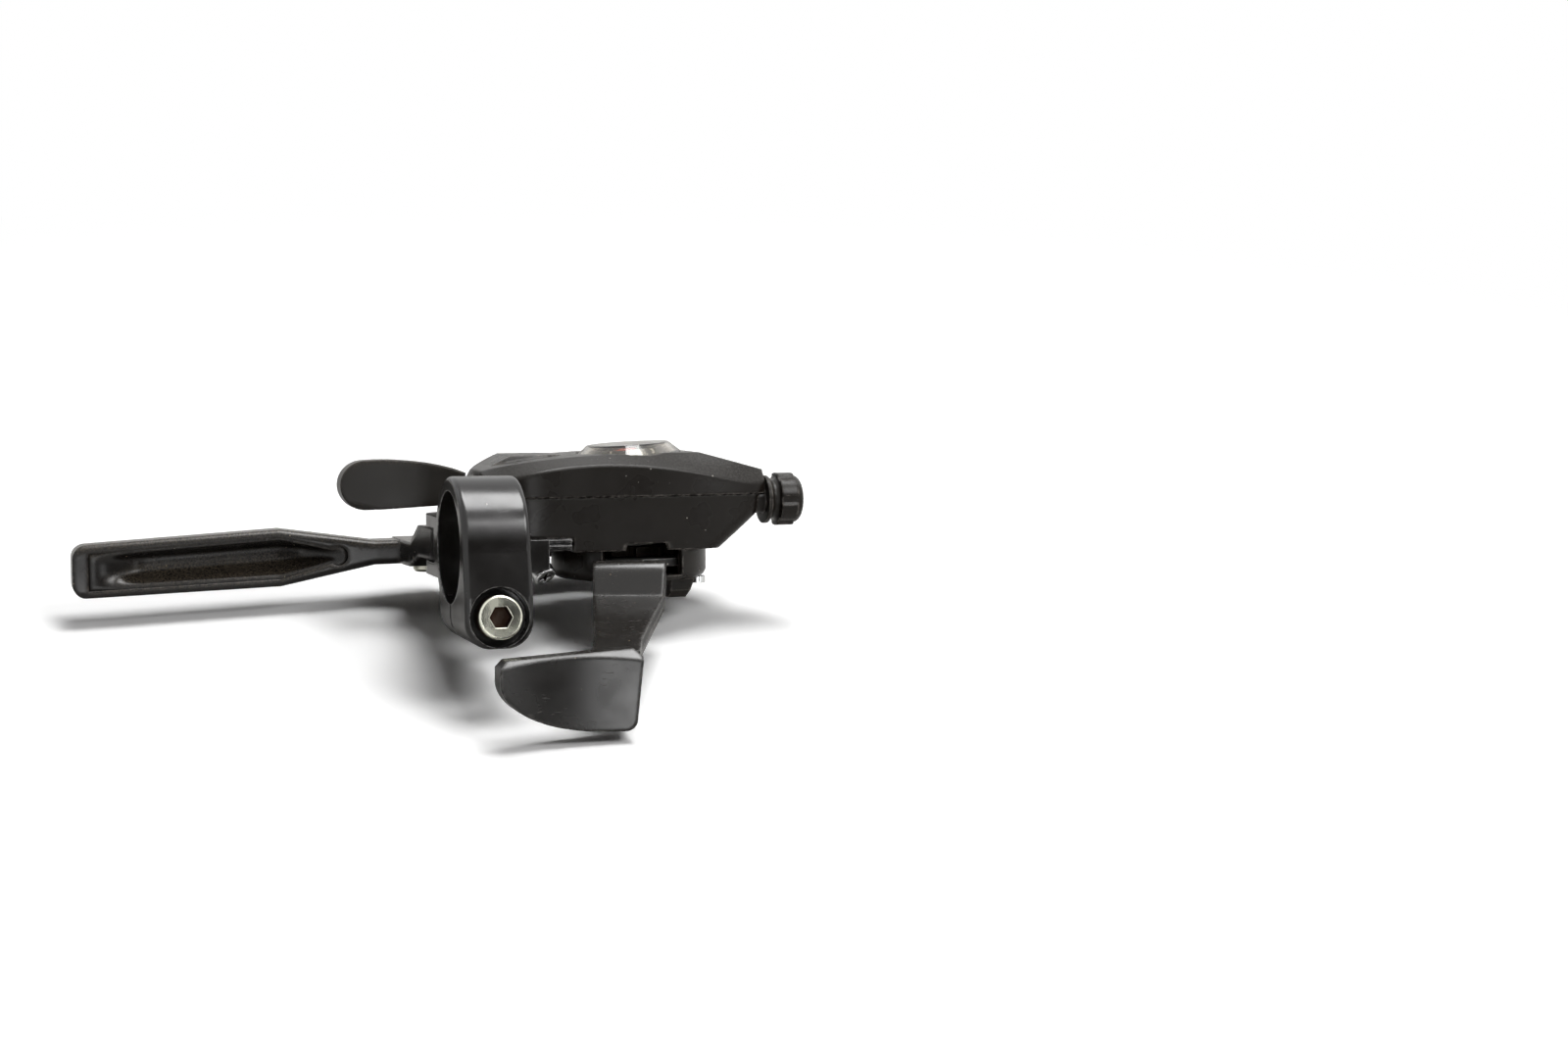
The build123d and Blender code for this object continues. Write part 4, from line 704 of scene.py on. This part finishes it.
dial_centre = np.array((0.0382, 0.0327993, 0.0089559))
dial_axis = np.array((-0.0593064, 0.2211585, 0.9734329))
ring_foot, ring_top, ring_rise = 0.0091, 0.0080, 0.0012  # radii and height of the sloping ring
digit_height, digit_stroke = 0.0011, 0.00026
digit_start = 0.00042  # from the ring's foot
digit_lift, digit_sink = 0.00004, 0.00005  # above and below the ring's face
digit_profile = np.array([-0.5, -0.42, 0.42, 0.5])  # foot and top of each side, in strokes
same_point = 1e-7
run_points, arc_points = 6, 12
digit_turns = {"1": -130.0, "2": -100.0, "3": -70.0}


def arc(middle, radius, start, end):
    """Points of a circle's part, from one angle to another in degrees."""
    angle = np.radians(np.linspace(start, end, arc_points))
    across, up = middle[0] + radius * np.cos(angle), middle[1] + radius * np.sin(angle)
    return np.stack([across, up], axis=-1)


def line(*corners):
    """Points along straight runs between corners."""
    runs = [np.linspace(a, b, run_points) for a, b in zip(corners[:-1], corners[1:])]
    return np.concatenate(runs)


def number_on_ring(path, turn):
    """Flat-topped strip along a path of across and up, wrapped on the dial's sloping ring.

    Up runs from the ring's foot to its top, across is an arc about the dial's centre, and the strip's
    profile stands square to the slope.
    """
    path = digit_height * path
    steps = np.linalg.norm(np.diff(path, axis=0), axis=1)
    path = path[np.concatenate([[True], steps > same_point])]
    ahead = np.gradient(path, axis=0)
    ahead /= np.linalg.norm(ahead, axis=1, keepdims=True)
    side = np.stack([-ahead[:, 1], ahead[:, 0]], axis=-1)
    wide = digit_stroke * digit_profile
    lift = np.array([-digit_sink, digit_lift, digit_lift, -digit_sink])
    flat = path[:, None, :] + side[:, None, :] * wide[None, :, None]
    slope = np.hypot(ring_foot - ring_top, ring_rise)
    share = (digit_start + flat[..., 1]) / slope
    radius = ring_foot - (ring_foot - ring_top) * share + ring_rise / slope * lift
    height = ring_rise * share + (ring_foot - ring_top) / slope * lift
    angle = np.radians(turn) + flat[..., 0] / (ring_foot + ring_top) * 2
    right = np.array((1.0, 0.0, 0.0)) - dial_axis[0] * dial_axis
    right /= np.linalg.norm(right)
    forward = np.cross(dial_axis, right)
    spread = np.cos(angle)[..., None] * right + np.sin(angle)[..., None] * forward
    return dial_centre + radius[..., None] * spread + height[..., None] * dial_axis


digit_paths = {
    "1": line((-0.2, 0.78), (0.04, 1.0), (0.04, 0.0)),
    "2": np.concatenate(
        [arc((0.0, 0.72), 0.28, 165, -35), line((0.2, 0.52), (-0.3, 0.0), (0.32, 0.0))]
    ),
    "3": np.concatenate([arc((0.0, 0.76), 0.24, 160, -85), arc((0.0, 0.27), 0.27, 85, -160)]),
}
number_white = black_finish(
    "number_white",
    colour=(0.75, 0.74, 0.7, 1),
    roughness=0.5,
    specular=0.4,
    grain=(3000, 5e-6),
    rubbed=((0.5, 0.49, 0.45, 1), 0.2, 0.0001),
    dust=(0.0, brown_dust, 0.0, 0.001),
)
for digit, digit_path in digit_paths.items():
    number_grid = number_on_ring(digit_path, digit_turns[digit])
    number = mesh_from_grid("number_" + digit, number_grid, closed=True)
    number.data.materials.append(number_white)
    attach(number, "housing")

lens_tint = (0.84, 0.8, 0.72, 1)
lens_index = 1.49  # of acrylic
lens_grain = 1500.0
lens_clear, lens_dulled = 0.05, 0.2  # roughness from patch to patch
clear, node, link = new_material("clear_lens")
surface = node("ShaderNodeBsdfPrincipled")
surface.inputs["Base Color"].default_value = lens_tint
surface.inputs["IOR"].default_value = lens_index
surface.inputs["Transmission Weight"].default_value = 1.0
tooth = use(node, grain_group, Scale=lens_grain)
shine = stretch(node, link, tooth.outputs["Patches"], patch_low, patch_high, lens_clear, lens_dulled)
link(shine, surface.inputs["Roughness"])
output = node("ShaderNodeOutputMaterial")
link(surface.outputs[0], output.inputs["Surface"])
finish(clear, "lens")
